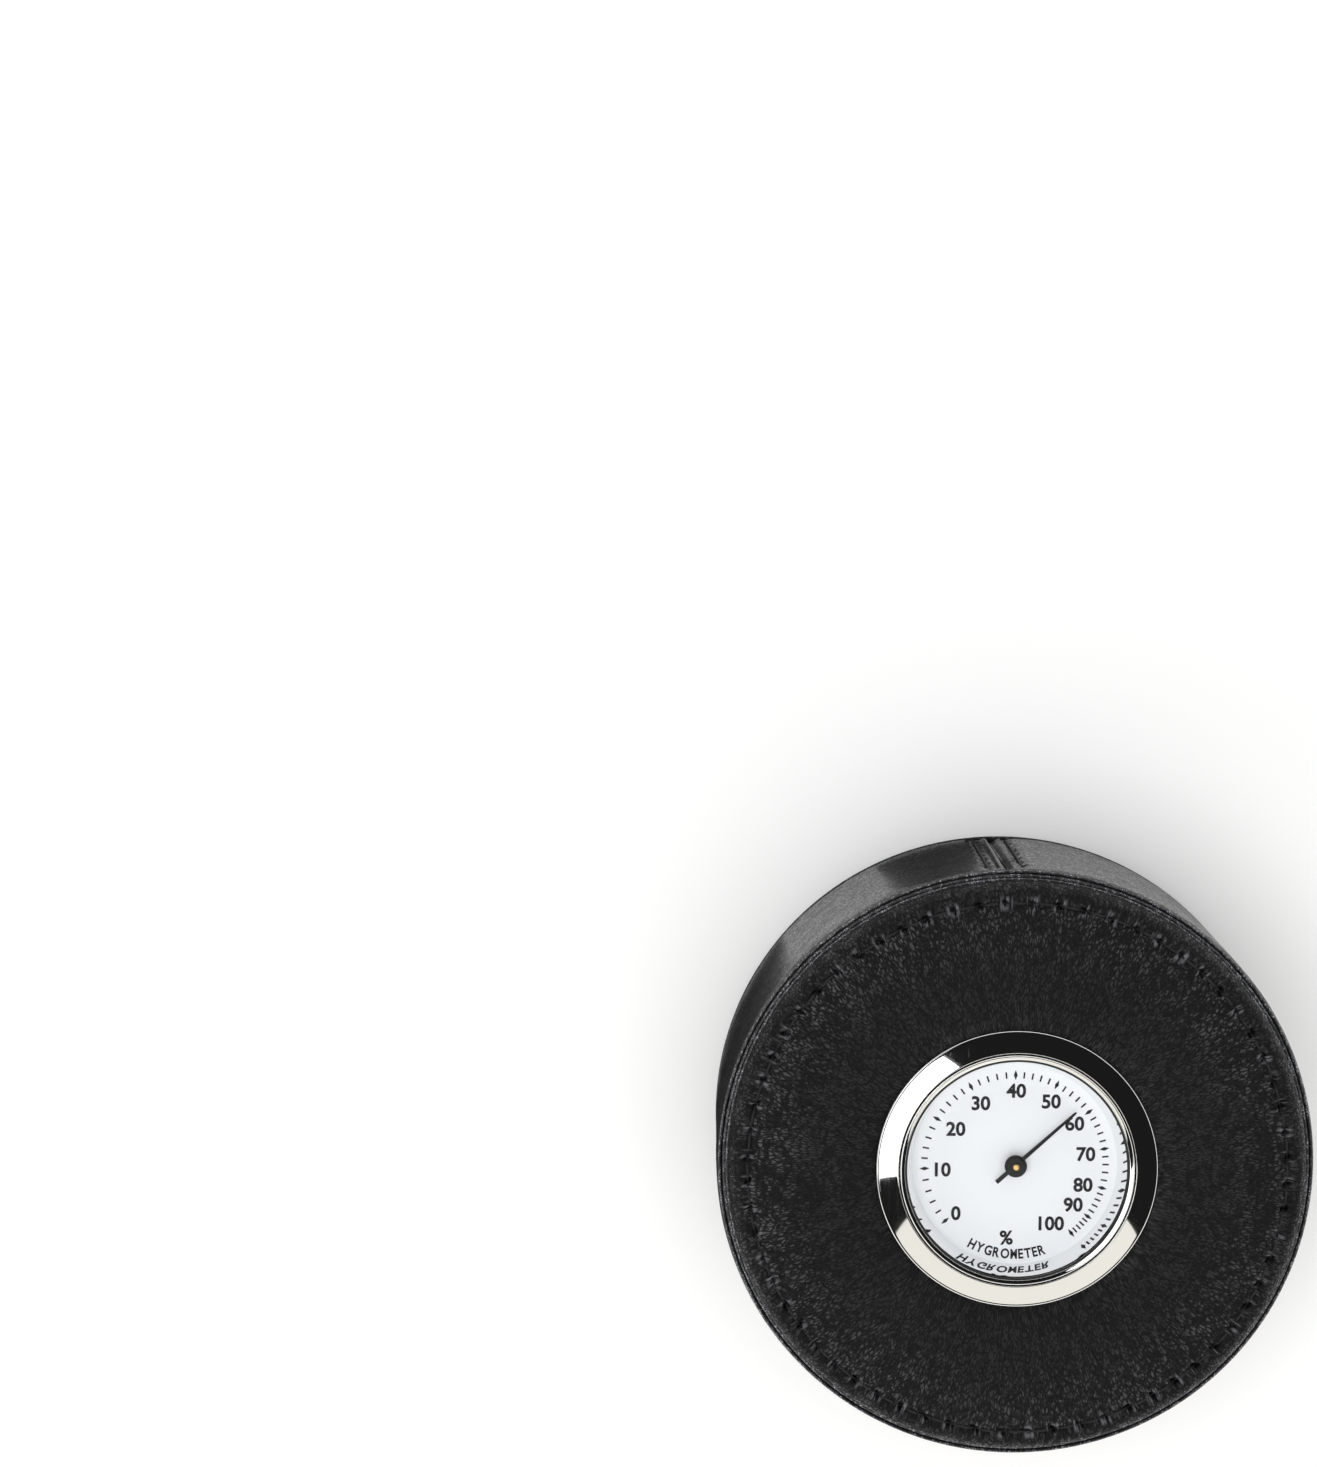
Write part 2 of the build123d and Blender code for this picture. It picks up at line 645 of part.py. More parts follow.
with BuildPart() as calibration_stud:
    revolve(
        turned_section(
            (0, STUD_BOTTOM),
            (HEAD_OF_STUD_RADIUS - 0.2, STUD_BOTTOM),
            (HEAD_OF_STUD_RADIUS, STUD_BOTTOM + 0.2),
            (HEAD_OF_STUD_RADIUS, BUSH_BOTTOM - 0.08),
            (STUD_RADIUS, BUSH_BOTTOM - 0.08),
            (STUD_RADIUS, SHOULDER_TOP),
            (NECK_RADIUS, SHOULDER_TOP),
            (NECK_RADIUS, NECK_TOP),
            (SHAFT_RADIUS + RUNNING, NECK_TOP),
            (SHAFT_RADIUS + RUNNING, PIVOT_DEPTH_HEIGHT),
            (0, PIVOT_DEPTH_HEIGHT),
        ),
        axis=Axis.Z,
    )
    # screwdriver slot in the head
    with BuildSketch(Plane.XY.offset(STUD_BOTTOM - 1)):
        Rectangle(3 * HEAD_OF_STUD_RADIUS, SLOT_WIDTH)
    extrude(amount=1 + SLOT_DEPTH, mode=Mode.SUBTRACT)
save(calibration_stud, "calibration_stud")

COIL_END_ANGLE = 360 * (COIL_TURNS - int(COIL_TURNS))
POST_DISTANCE = COIL_OUTER + COIL_STRIP / 2 + POST_RADIUS + 0.03
ARM_SHEET = 0.4
ARM_EYE = 2.4                # radius of the end round the stud
ARM_END = 1.0                # radius of the end under the post

with BuildPart() as calibration_arm:
    with BuildSketch(Plane.XY.offset(ARM_HEIGHT).rotated((0, 0, COIL_END_ANGLE))):
        Circle(ARM_EYE)
        with Locations((POST_DISTANCE / 2, 0)):
            Rectangle(POST_DISTANCE, 2 * ARM_END)
        with Locations((POST_DISTANCE, 0)):
            Circle(ARM_END)
        Circle(NECK_RADIUS + 0.02, mode=Mode.SUBTRACT)
    extrude(amount=ARM_SHEET)
save(calibration_arm, "calibration_arm")

with BuildPart() as anchor_post:
    with BuildSketch(Plane.XY.offset(ARM_HEIGHT + ARM_SHEET + 0.01)):
        with Locations(on_circle(POST_DISTANCE, COIL_END_ANGLE)):
            Circle(POST_RADIUS)
    extrude(amount=COIL_TOP - ARM_HEIGHT - ARM_SHEET)
save(anchor_post, "anchor_post")

# ---------------------------------------------------------------- pointer and humidity coil

SHAFT_TOP = NEEDLE_HEIGHT + 1.5
SHAFT_BOTTOM = PIVOT_DEPTH_HEIGHT + 0.1

with BuildPart() as pointer_shaft:
    with BuildSketch(Plane.XY.offset(SHAFT_BOTTOM)):
        Circle(SHAFT_RADIUS)
    extrude(amount=SHAFT_TOP - SHAFT_BOTTOM)
    fillet(pointer_shaft.edges().filter_by(GeomType.CIRCLE).sort_by(Axis.Z)[-1], radius=0.2)
save(pointer_shaft, "pointer_shaft")

NEEDLE_SHEET = 0.2
NEEDLE_WIDTH = 0.42
NEEDLE_EYE = 1.3             # radius of the disc in the middle of the needle

with BuildPart() as pointer_needle:
    with BuildSketch(Plane.XY.offset(NEEDLE_HEIGHT).rotated((0, 0, POINTER_ANGLE))):
        with BuildLine():
            Polyline(
                (-NEEDLE_TAIL, -NEEDLE_WIDTH / 2),
                (NEEDLE_TIP, -NEEDLE_WIDTH / 2 + 0.04),
                (NEEDLE_TIP, NEEDLE_WIDTH / 2 - 0.04),
                (-NEEDLE_TAIL, NEEDLE_WIDTH / 2),
                close=True,
            )
        make_face()
        Circle(NEEDLE_EYE)
        Circle(SHAFT_RADIUS + 0.01, mode=Mode.SUBTRACT)
    extrude(amount=NEEDLE_SHEET)
save(pointer_needle, "pointer_needle")

HUB_RADIUS = 1.75
HUB_ROUND = 0.2
HUB_BOTTOM = NEEDLE_HEIGHT + NEEDLE_SHEET + 0.01
HUB_TOP = NEEDLE_HEIGHT + 1.05

with BuildPart() as pointer_hub:
    revolve(
        turned_section(
            (SHAFT_RADIUS + 0.01, HUB_BOTTOM),
            (HUB_RADIUS, HUB_BOTTOM),
            (HUB_RADIUS, HUB_TOP - HUB_ROUND),
            (HUB_RADIUS - HUB_ROUND, HUB_TOP),
            (SHAFT_RADIUS + 0.01, HUB_TOP),
        ),
        axis=Axis.Z,
    )
save(pointer_hub, "pointer_hub")

with BuildPart() as coil_collet:
    revolve(
        ring_section(SHAFT_RADIUS + 0.01, COIL_INNER - COIL_STRIP / 2 - 0.03, COIL_BOTTOM, COIL_TOP),
        axis=Axis.Z,
    )
save(coil_collet, "coil_collet")


def coil_edge(side):
    """Points along one face of the spiral strip, side -1 inside and 1 outside."""
    points = []
    count = int(COIL_TURNS * 16)
    for index in range(count + 1):
        part_way = index / count
        radius = COIL_INNER + (COIL_OUTER - COIL_INNER) * part_way + side * COIL_STRIP / 2
        points.append(on_circle(radius, 360 * COIL_TURNS * part_way))
    return points


with BuildPart() as humidity_coil:
    with BuildSketch(Plane.XY.offset(COIL_BOTTOM)):
        with BuildLine():
            inner_edge = Spline(*coil_edge(-1))
            outer_edge = Spline(*coil_edge(1))
            Line(inner_edge @ 0, outer_edge @ 0)
            Line(inner_edge @ 1, outer_edge @ 1)
        make_face()
    extrude(amount=COIL_TOP - COIL_BOTTOM)
save(humidity_coil, "humidity_coil")
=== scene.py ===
import math
import random

import bmesh
import bpy
from bpy.props import FloatProperty, FloatVectorProperty, IntProperty, PointerProperty
from bpy.types import Operator, Panel, PropertyGroup
from mathutils import Matrix, Vector, noise


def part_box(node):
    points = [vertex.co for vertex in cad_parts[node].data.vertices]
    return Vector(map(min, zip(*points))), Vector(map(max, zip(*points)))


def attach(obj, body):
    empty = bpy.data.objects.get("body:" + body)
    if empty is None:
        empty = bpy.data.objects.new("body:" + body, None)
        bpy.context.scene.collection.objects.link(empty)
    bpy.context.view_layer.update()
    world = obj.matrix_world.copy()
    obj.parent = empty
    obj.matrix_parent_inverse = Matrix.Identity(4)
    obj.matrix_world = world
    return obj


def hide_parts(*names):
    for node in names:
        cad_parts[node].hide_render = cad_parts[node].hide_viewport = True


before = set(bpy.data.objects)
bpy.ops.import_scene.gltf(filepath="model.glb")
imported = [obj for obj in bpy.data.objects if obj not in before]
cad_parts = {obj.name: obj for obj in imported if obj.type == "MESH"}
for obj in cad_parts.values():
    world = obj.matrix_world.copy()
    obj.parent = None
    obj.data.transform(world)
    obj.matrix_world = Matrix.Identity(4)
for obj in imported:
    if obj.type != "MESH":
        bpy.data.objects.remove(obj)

# A leather-covered cap that holds a dial hygrometer. Outlines are (radius, height) pairs in
# millimetres about the vertical axis; everything is turned into metres when a mesh is made.

bl_info = {
    "name": "Dial Hygrometer Cap",
    "version": (1, 0, 0),
    "blender": (4, 5, 0),
    "location": "3D View > Sidebar > Hygrometer",
    "description": "Builds a leather-covered cap with a dial hygrometer, piece by piece",
    "category": "Add Mesh",
}

MM = 0.001
TURN = 2 * math.pi
LOOK = "look_"  # keeps the finishes' names apart from the frame's own materials
BEVEL_FROM = math.radians(25)  # edges sharper than this are bevelled
NEARLY_FLAT = 0.0001  # keeps the outward direction of a thread from being zero
NESTED = 0.85  # distance of a ply from the thread's middle, in ply radii
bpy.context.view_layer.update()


def reach(node):
    """Outer radius, lowest and highest point of a round node, in millimetres."""
    low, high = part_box(node)
    return high.x / MM, low.z / MM, high.z / MM


CAP_RADIUS, SIDE_BOTTOM = reach("side_leather")[:2]
TRIM_RADIUS = reach("trim_ring")[0]
BEZEL_RADIUS, BEZEL_TOP = reach("bezel")[::2]
WALL_RADIUS, WALL_BOTTOM, WALL_TOP = reach("polished_wall")
CAN_RADIUS, CAN_BOTTOM, CAN_TOP = reach("case_can")
DIAL_TOP = reach("dial_plate")[2]
LINER_RADIUS, LINER_BOTTOM, LINER_TOP = reach("cedar_liner")
LINING_TOP = reach("skirt_lining")[2]
RIM_TOP = reach("rim_binding")[2]
NEEDLE_BOTTOM, NEEDLE_TOP = reach("pointer_needle")[1:]
HUB_RADIUS, HUB_BOTTOM, HUB_TOP = reach("pointer_hub")
SHAFT_TOP = reach("pointer_shaft")[2]
GAUZE_RADIUS, GAUZE_BOTTOM, GAUZE_TOP = reach("vent_gauze")


# ------------------------------------------------------------------ sizes and colours


class CoverSettings(PropertyGroup):
    """Leather cover of the cap and its stitching."""

    stitches: IntProperty(
        name="Face stitches", description="Stitches round the face", default=64, min=8
    )
    stitch_radius: FloatProperty(
        name="Stitch circle", description="Radius of the circle of stitches",
        default=42 * MM, unit="LENGTH",
    )
    thread: FloatProperty(
        name="Thread", description="Radius of one ply of the sewing thread",
        default=0.13 * MM, unit="LENGTH",
    )
    hole_depth: FloatProperty(
        name="Hole depth", description="How far the needle holes sink into the leather",
        default=0.9 * MM, unit="LENGTH",
    )
    pucker: FloatProperty(
        name="Pucker", description="Height of the small folds round each hole",
        default=0.27 * MM, unit="LENGTH",
    )
    seam_angle: FloatProperty(
        name="Seam angle", description="Where the side leather's butt seam stands",
        default=math.radians(92), subtype="ANGLE",
    )
    seam_rows: FloatProperty(
        name="Seam rows", description="Distance of each row of stitches from the seam",
        default=2.7 * MM, unit="LENGTH",
    )
    seam_pitch: FloatProperty(
        name="Seam pitch", description="Distance from stitch to stitch beside the seam",
        default=4.1 * MM, unit="LENGTH",
    )
    leather: FloatVectorProperty(
        name="Leather", description="Colour of the leather", subtype="COLOR",
        default=(0.0055, 0.0055, 0.006), min=0, max=1,
    )
    thread_colour: FloatVectorProperty(
        name="Thread colour", description="Colour of the thread", subtype="COLOR",
        default=(0.008, 0.008, 0.009), min=0, max=1,
    )


class MetalSettings(PropertyGroup):
    """Chrome, nickel and brass."""

    segments: IntProperty(
        name="Segments", description="Steps round a turned piece", default=288, min=32
    )
    chrome: FloatVectorProperty(
        name="Chrome", description="Colour of the chrome", subtype="COLOR",
        default=(0.86, 0.86, 0.85), min=0, max=1,
    )
    nickel: FloatVectorProperty(
        name="Nickel", description="Colour of the nickel plate", subtype="COLOR",
        default=(0.6, 0.59, 0.55), min=0, max=1,
    )
    brass: FloatVectorProperty(
        name="Brass", description="Colour of the brass", subtype="COLOR",
        default=(0.72, 0.5, 0.2), min=0, max=1,
    )


class DialSettings(PropertyGroup):
    """Dial, its printing and the pointer."""

    figure_height: FloatProperty(
        name="Figure height", description="Height of the numbers on the dial",
        default=2.3 * MM, unit="LENGTH",
    )
    word_height: FloatProperty(
        name="Word height", description="Height of the letters at the foot of the dial",
        default=1.6 * MM, unit="LENGTH",
    )
    word_radius: FloatProperty(
        name="Word circle", description="Radius of the circle that the word stands on",
        default=14.35 * MM, unit="LENGTH",
    )
    mark_radius: FloatProperty(
        name="Mark circle", description="Radius of the circle of scale marks",
        default=14.2 * MM, unit="LENGTH",
    )
    pointer_angle: FloatProperty(
        name="Pointer angle", description="Where the pointer stands at rest",
        default=math.radians(42), subtype="ANGLE",
    )
    enamel: FloatVectorProperty(
        name="Enamel", description="Colour of the dial", subtype="COLOR",
        default=(0.86, 0.885, 0.92), min=0, max=1,
    )
    ink: FloatVectorProperty(
        name="Ink", description="Colour of the printing", subtype="COLOR",
        default=(0.004, 0.004, 0.005), min=0, max=1,
    )


class InsideSettings(PropertyGroup):
    """Linings inside the cap."""

    wood: FloatVectorProperty(
        name="Wood", description="Colour of the cedar", subtype="COLOR",
        default=(0.5, 0.2, 0.09), min=0, max=1,
    )
    lining: FloatVectorProperty(
        name="Lining", description="Colour of the skirt lining", subtype="COLOR",
        default=(0.008, 0.008, 0.009), min=0, max=1,
    )
    gauze_pitch: FloatProperty(
        name="Gauze pitch", description="Distance from wire to wire in the gauze",
        default=0.8 * MM, unit="LENGTH",
    )


class StageSettings(PropertyGroup):
    """Floor, lights and camera."""

    floor: FloatVectorProperty(
        name="Floor", description="Colour of the floor", subtype="COLOR",
        default=(0.95, 0.95, 0.95), min=0, max=1,
    )
    camera_place: FloatVectorProperty(
        name="Camera place", description="Where the camera stands", subtype="XYZ",
        default=(-0.04705, 0.11882, 0.52744), unit="LENGTH",
    )
    lens: FloatProperty(
        name="Lens", description="Focal length in millimetres", default=78.06, min=10
    )
    horizon_light: FloatProperty(
        name="Low light", description="Strength of the light from low all round", default=1.7
    )
    ceiling_light: FloatProperty(
        name="High light", description="Strength of the light from overhead", default=0.012
    )
    box_light: FloatProperty(
        name="Soft box", description="Brightness of the soft box", default=2.6
    )
    fill_light: FloatProperty(
        name="Fill", description="Brightness of the high fill light", default=1.25
    )
    card_light: FloatProperty(
        name="Card", description="Brightness of the warm card", default=0.95
    )


# ------------------------------------------------------------------ outlines


def arc(start, middle, end, steps):
    """Points along the circle through three points, both ends included."""
    (ax, ay), (bx, by), (cx, cy) = start, middle, end
    cross = 2 * (ax * (by - cy) + bx * (cy - ay) + cx * (ay - by))
    a, b, c = ax * ax + ay * ay, bx * bx + by * by, cx * cx + cy * cy
    ox = (a * (by - cy) + b * (cy - ay) + c * (ay - by)) / cross
    oy = (a * (cx - bx) + b * (ax - cx) + c * (bx - ax)) / cross
    radius = math.hypot(ax - ox, ay - oy)
    first = math.atan2(ay - oy, ax - ox)
    sweep = (math.atan2(cy - oy, cx - ox) - first + math.pi) % TURN - math.pi
    return [
        (ox + radius * math.cos(first + sweep * i / steps),
         oy + radius * math.sin(first + sweep * i / steps))
        for i in range(steps + 1)
    ]


def flowing(points, spacing):
    """A smooth line through the points, in steps of about spacing(radius, height)."""
    fine = []
    padded = [points[0], *points, points[-1]]
    for i in range(1, len(padded) - 2):
        p0, p1, p2, p3 = padded[i - 1:i + 3]
        for step in range(24):
            t = step / 24
            fine.append(tuple(
                0.5 * (2 * b + (c - a) * t + (2 * a - 5 * b + 4 * c - d) * t * t
                       + (3 * b - a - 3 * c + d) * t ** 3)
                for a, b, c, d in zip(p0, p1, p2, p3)
            ))
    fine.append(points[-1])
    kept = [fine[0]]
    walked = 0.0
    for before, here in zip(fine, fine[1:]):
        walked += math.dist(before, here)
        if walked >= spacing(*here):
            kept.append(here)
            walked = 0.0
    kept[-1] = fine[-1]
    return kept


def softened(corners, radius, steps=3):
    """A closed outline whose corners are rounded by up to radius."""
    rounded = []
    for i, corner in enumerate(corners):
        before, after = Vector(corners[i - 1]), Vector(corners[(i + 1) % len(corners)])
        here = Vector(corner)
        start = here + (before - here).normalized() * min(radius, 0.45 * (before - here).length)
        end = here + (after - here).normalized() * min(radius, 0.45 * (after - here).length)
        for step in range(steps + 1):
            t = step / steps
            rounded.append(tuple(start * (1 - t) ** 2 + here * 2 * t * (1 - t) + end * t * t))
    return rounded


def full_turn(count):
    """Evenly spaced angles round the axis."""
    return [TURN * i / count for i in range(count)]


def polar(radius, angle, height):
    """A point at a radius, an angle and a height."""
    return radius * math.cos(angle), radius * math.sin(angle), height


def turned(outline, angle):
    """A flat outline turned about the axis."""
    across, up = math.cos(angle), math.sin(angle)
    return [(x * across - y * up, x * up + y * across) for x, y in outline]


def oblong(inner, outer, low, high):
    """The four corners of a plain ring's outline."""
    return [(inner, low), (outer, low), (outer, high), (inner, high)]


def bump_shape(distance, width):
    """A smooth hill, 1 at distance 0 and fading over width."""
    return math.exp(-(distance / width) ** 2)


def ripple(radius, height, angle, size, seed=0.0):
    """Smooth noise on the surface of the cap, about -1 to 1, with waves of the given size."""
    return noise.noise(Vector((
        radius * math.cos(angle) / size, radius * math.sin(angle) / size, height / size + seed
    )))


# ------------------------------------------------------------------ meshes


def revolved(outline, angles, shift=None, open_ended=False):
    """Vertices and faces of a closed outline turned about the axis."""
    rows, columns = len(outline), len(angles)
    points = []
    for angle in angles:
        for row, (radius, height) in enumerate(outline):
            if shift:
                radius, height = shift(radius, height, angle, row)
            points.append(polar(radius, angle, height))
    faces = []
    for column in range(columns - 1 if open_ended else columns):
        here, there = column * rows, (column + 1) % columns * rows
        for row in range(rows):
            over = (row + 1) % rows
            faces.append((here + row, there + row, there + over, here + over))
    if open_ended:
        faces.append(tuple(range(rows)))
        faces.append(tuple(range((columns - 1) * rows, columns * rows)))
    return points, faces


def tube(path, radius, sides=8):
    """Vertices and faces of a round wire along a path, closed at both ends."""
    points, faces = [], []
    path = [Vector(p) for p in path]
    normal = None
    for i, here in enumerate(path):
        along = (path[min(i + 1, len(path) - 1)] - path[max(i - 1, 0)]).normalized()
        if normal is None:
            normal = along.orthogonal().normalized()
        normal = (normal - along * normal.dot(along)).normalized()
        side = along.cross(normal)
        for k in range(sides):
            turn = TURN * k / sides
            points.append(here + (normal * math.cos(turn) + side * math.sin(turn)) * radius)
    for i in range(len(path) - 1):
        for k in range(sides):
            n = (k + 1) % sides
            faces.append((i * sides + k, i * sides + n, (i + 1) * sides + n, (i + 1) * sides + k))
    faces.append(tuple(range(sides)))
    faces.append(tuple(range((len(path) - 1) * sides, len(path) * sides)))
    return points, faces


def twisted(path, ply, turns, phase=0.0):
    """Two plies of thread wound round a path."""
    path = [Vector(p) for p in path]
    strands = []
    for strand in range(2):
        wound = []
        for i, here in enumerate(path):
            along = (path[min(i + 1, len(path) - 1)] - path[max(i - 1, 0)]).normalized()
            across = along.cross(Vector((here.x, here.y, NEARLY_FLAT))).normalized()
            up = across.cross(along)
            angle = phase + strand * math.pi + TURN * turns * i / (len(path) - 1)
            wound.append(here + (across * math.cos(angle) + up * math.sin(angle)) * ply * NESTED)
        strands.append(tube(wound, ply))
    return strands


def joined(parts):
    """Several (vertices, faces) pairs as one."""
    points, faces = [], []
    for some_points, some_faces in parts:
        start = len(points)
        points.extend(some_points)
        faces.extend(tuple(start + i for i in face) for face in some_faces)
    return points, faces


def plate(outline, low, high):
    """A flat plate from an (x, y) outline and its two heights."""
    count = len(outline)
    points = [(x, y, low) for x, y in outline] + [(x, y, high) for x, y in outline]
    faces = [tuple(range(count)), tuple(range(count, 2 * count))]
    faces += [(i, (i + 1) % count, count + (i + 1) % count, count + i) for i in range(count)]
    return points, faces


def put(name, data):
    """A new object in the scene."""
    made = bpy.data.objects.new(name, data)
    bpy.context.scene.collection.objects.link(made)
    return made


def add_piece(name, shape, finish, body, nodes, bevel=0.0, sharp=None):
    """Makes a piece from millimetre vertices and faces and puts it on its body."""
    points, faces = shape
    mesh = bpy.data.meshes.new(name)
    mesh.from_pydata([Vector(p) * MM for p in points], [], faces)
    work = bmesh.new()
    work.from_mesh(mesh)
    bmesh.ops.recalc_face_normals(work, faces=work.faces)
    if bevel:
        edges = [e for e in work.edges if e.calc_face_angle(0.0) > BEVEL_FROM]
        bmesh.ops.bevel(
            work, geom=edges, offset=bevel * MM, segments=2, profile=0.5, affect="EDGES"
        )
    for face in work.faces:
        face.smooth = True
    work.to_mesh(mesh)
    work.free()
    if sharp:
        mesh.set_sharp_from_angle(angle=math.radians(sharp))
    mesh.materials.append(bpy.data.materials[LOOK + finish])
    piece = put(name, mesh)
    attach(piece, body)
    if nodes:
        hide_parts(*nodes)
    return piece


def dress(node, finish):
    """Gives a node of the frame its finish."""
    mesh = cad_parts[node].data
    mesh.materials.clear()
    mesh.materials.append(bpy.data.materials[LOOK + finish])


# ------------------------------------------------------------------ shader building


class Wiring:
    """Adds nodes to one tree. An input is a plain value or another node's output."""

    def __init__(self, tree):
        self.tree = tree

    def add(self, kind, inputs=None, **settings):
        """One node with its settings and inputs."""
        node = self.tree.nodes.new(kind)
        for name, value in settings.items():
            setattr(node, name, value)
        for name, value in (inputs or {}).items():
            self.feed(node.inputs[name], value)
        return node

    def feed(self, socket, value):
        """Links an output, or sets a plain value."""
        if isinstance(value, bpy.types.NodeSocket):
            self.tree.links.new(value, socket)
        else:
            socket.default_value = value

    def maths(self, operation, *terms, clamp=False):
        """The result of one Math node."""
        node = self.tree.nodes.new("ShaderNodeMath")
        node.operation = operation
        node.use_clamp = clamp
        for socket, term in zip(node.inputs, terms):
            self.feed(socket, term)
        return node.outputs[0]

    def times(self, first, second):
        """The product of two values."""
        return self.maths("MULTIPLY", first, second)

    def remap(self, value, low, high, to_low=0.0, to_high=1.0):
        """A value moved from one range to another, held inside it."""
        node = self.add("ShaderNodeMapRange", interpolation_type="SMOOTHSTEP")
        for socket, term in zip(node.inputs, (value, low, high, to_low, to_high)):
            self.feed(socket, term)
        return node.outputs[0]

    def mix(self, factor, first, second):
        """Two colours mixed by a factor."""
        node = self.add("ShaderNodeMix", data_type="RGBA")
        for place, term in ((0, factor), (6, first), (7, second)):
            self.feed(node.inputs[place], term)
        return node.outputs[2]

    def noise(self, place, scale, detail=2.0, roughness=0.5, distortion=0.0):
        """The grey value of a Noise texture."""
        values = {
            "Vector": place, "Scale": scale, "Detail": detail,
            "Roughness": roughness, "Distortion": distortion,
        }
        return self.add("ShaderNodeTexNoise", values).outputs["Fac"]

    def stretched(self, place, scale, turn=(0.0, 0.0, 0.0)):
        """Coordinates turned and stretched."""
        values = {"Vector": place, "Scale": scale, "Rotation": turn}
        return self.add("ShaderNodeMapping", values).outputs["Vector"]

    def cells(self, place, scale):
        """The distance to the nearest edge between the cells of a Voronoi texture."""
        values = {"Vector": place, "Scale": scale}
        edges = self.add("ShaderNodeTexVoronoi", values, feature="DISTANCE_TO_EDGE")
        return edges.outputs["Distance"]

    def product(self, place, factors):
        """Coordinates multiplied one by one."""
        return self.add(
            "ShaderNodeVectorMath", {0: place, 1: factors}, operation="MULTIPLY"
        ).outputs[0]

    def split(self, place):
        """The X, Y and Z outputs of coordinates."""
        return self.add("ShaderNodeSeparateXYZ", {"Vector": place}).outputs

    def bump(self, height, strength, distance):
        """A normal raised by a height, over a distance in millimetres."""
        values = {"Height": height, "Strength": strength, "Distance": distance * MM}
        return self.add("ShaderNodeBump", values).outputs["Normal"]

    def group(self, name, **inputs):
        """A node group's node, with its inputs by name."""
        node = self.tree.nodes.new("ShaderNodeGroup")
        node.node_tree = bpy.data.node_groups[name]
        for socket, value in inputs.items():
            self.feed(node.inputs[socket.replace("_", " ")], value)
        return node.outputs

    def clear_where(self, factor):
        """Lets light straight through the surface where the factor is 1."""
        nodes, link = self.tree.nodes, self.tree.links.new
        clear = self.add("ShaderNodeBsdfTransparent")
        blend = self.add("ShaderNodeMixShader", {"Fac": factor})
        link(nodes["Principled BSDF"].outputs["BSDF"], blend.inputs[1])
        link(clear.outputs[0], blend.inputs[2])
        link(blend.outputs[0], nodes["Material Output"].inputs["Surface"])


SOCKETS = {"v": "NodeSocketVector", "f": "NodeSocketFloat"}


def new_group(name, inputs, outputs):
    """An empty node group, its wiring, its input sockets and its output node."""
    tree = bpy.data.node_groups.new(name, "ShaderNodeTree")
    for label, kind, start in inputs:
        socket = tree.interface.new_socket(
            name=label, in_out="INPUT", socket_type=SOCKETS[kind]
        )
        if start is not None:
            socket.default_value = start
    for label, kind in outputs:
        tree.interface.new_socket(name=label, in_out="OUTPUT", socket_type=SOCKETS[kind])
    given = tree.nodes.new("NodeGroupInput").outputs
    return Wiring(tree), given, tree.nodes.new("NodeGroupOutput").inputs


def leather_grain_group():
    """Pebbles, pores and slanting creases of dressed leather."""
    wire, given, result = new_group(
        "Leather Grain",
        (("Coordinates", "v", None), ("Pebbles", "f", 1500.0), ("Creases", "f", 0.4)),
        (("Height", "f"), ("Tops", "f")),
    )
    place = given["Coordinates"]
    sway = wire.add("ShaderNodeTexNoise", {"Vector": place, "Scale": 500.0, "Detail": 3.0})
    bent = wire.add("ShaderNodeVectorMath", operation="MULTIPLY_ADD")
    wire.feed(bent.inputs[0], sway.outputs["Color"])
    wire.feed(bent.inputs[1], (0.0009, 0.0009, 0.0009))
    wire.feed(bent.inputs[2], place)
    pebble = wire.remap(wire.cells(bent.outputs[0], given["Pebbles"]), 0.0, 0.32)
    pores = wire.noise(place, wire.times(given["Pebbles"], 2.6), 3.0, 0.6)
    slant = wire.stretched(place, (1.0, 0.28, 1.0), (0.0, 0.0, 0.75))
    folds = wire.noise(slant, wire.times(given["Pebbles"], 0.3), 4.0, 0.55, 0.8)
    crease = wire.remap(wire.maths("ABSOLUTE", wire.maths("SUBTRACT", folds, 0.5)), 0.0, 0.07)
    patch = wire.remap(wire.noise(place, 75.0, 2.0), 0.38, 0.62)
    lively = wire.maths("MULTIPLY_ADD", patch, 0.6, 0.4)
    grain = wire.maths(
        "MULTIPLY_ADD", pebble, wire.times(lively, 0.6), wire.times(pores, 0.35)
    )
    deep = wire.times(wire.times(given["Creases"], lively), crease)
    wire.feed(result["Height"], wire.maths("ADD", grain, deep))
    specks = wire.remap(pores, 0.36, 0.62)
    tops = wire.maths("MULTIPLY_ADD", pebble, 0.55, wire.times(specks, 0.45))
    open_share = wire.maths("MULTIPLY_ADD", crease, 0.65, 0.35)
    wire.feed(result["Tops"], wire.times(tops, open_share))


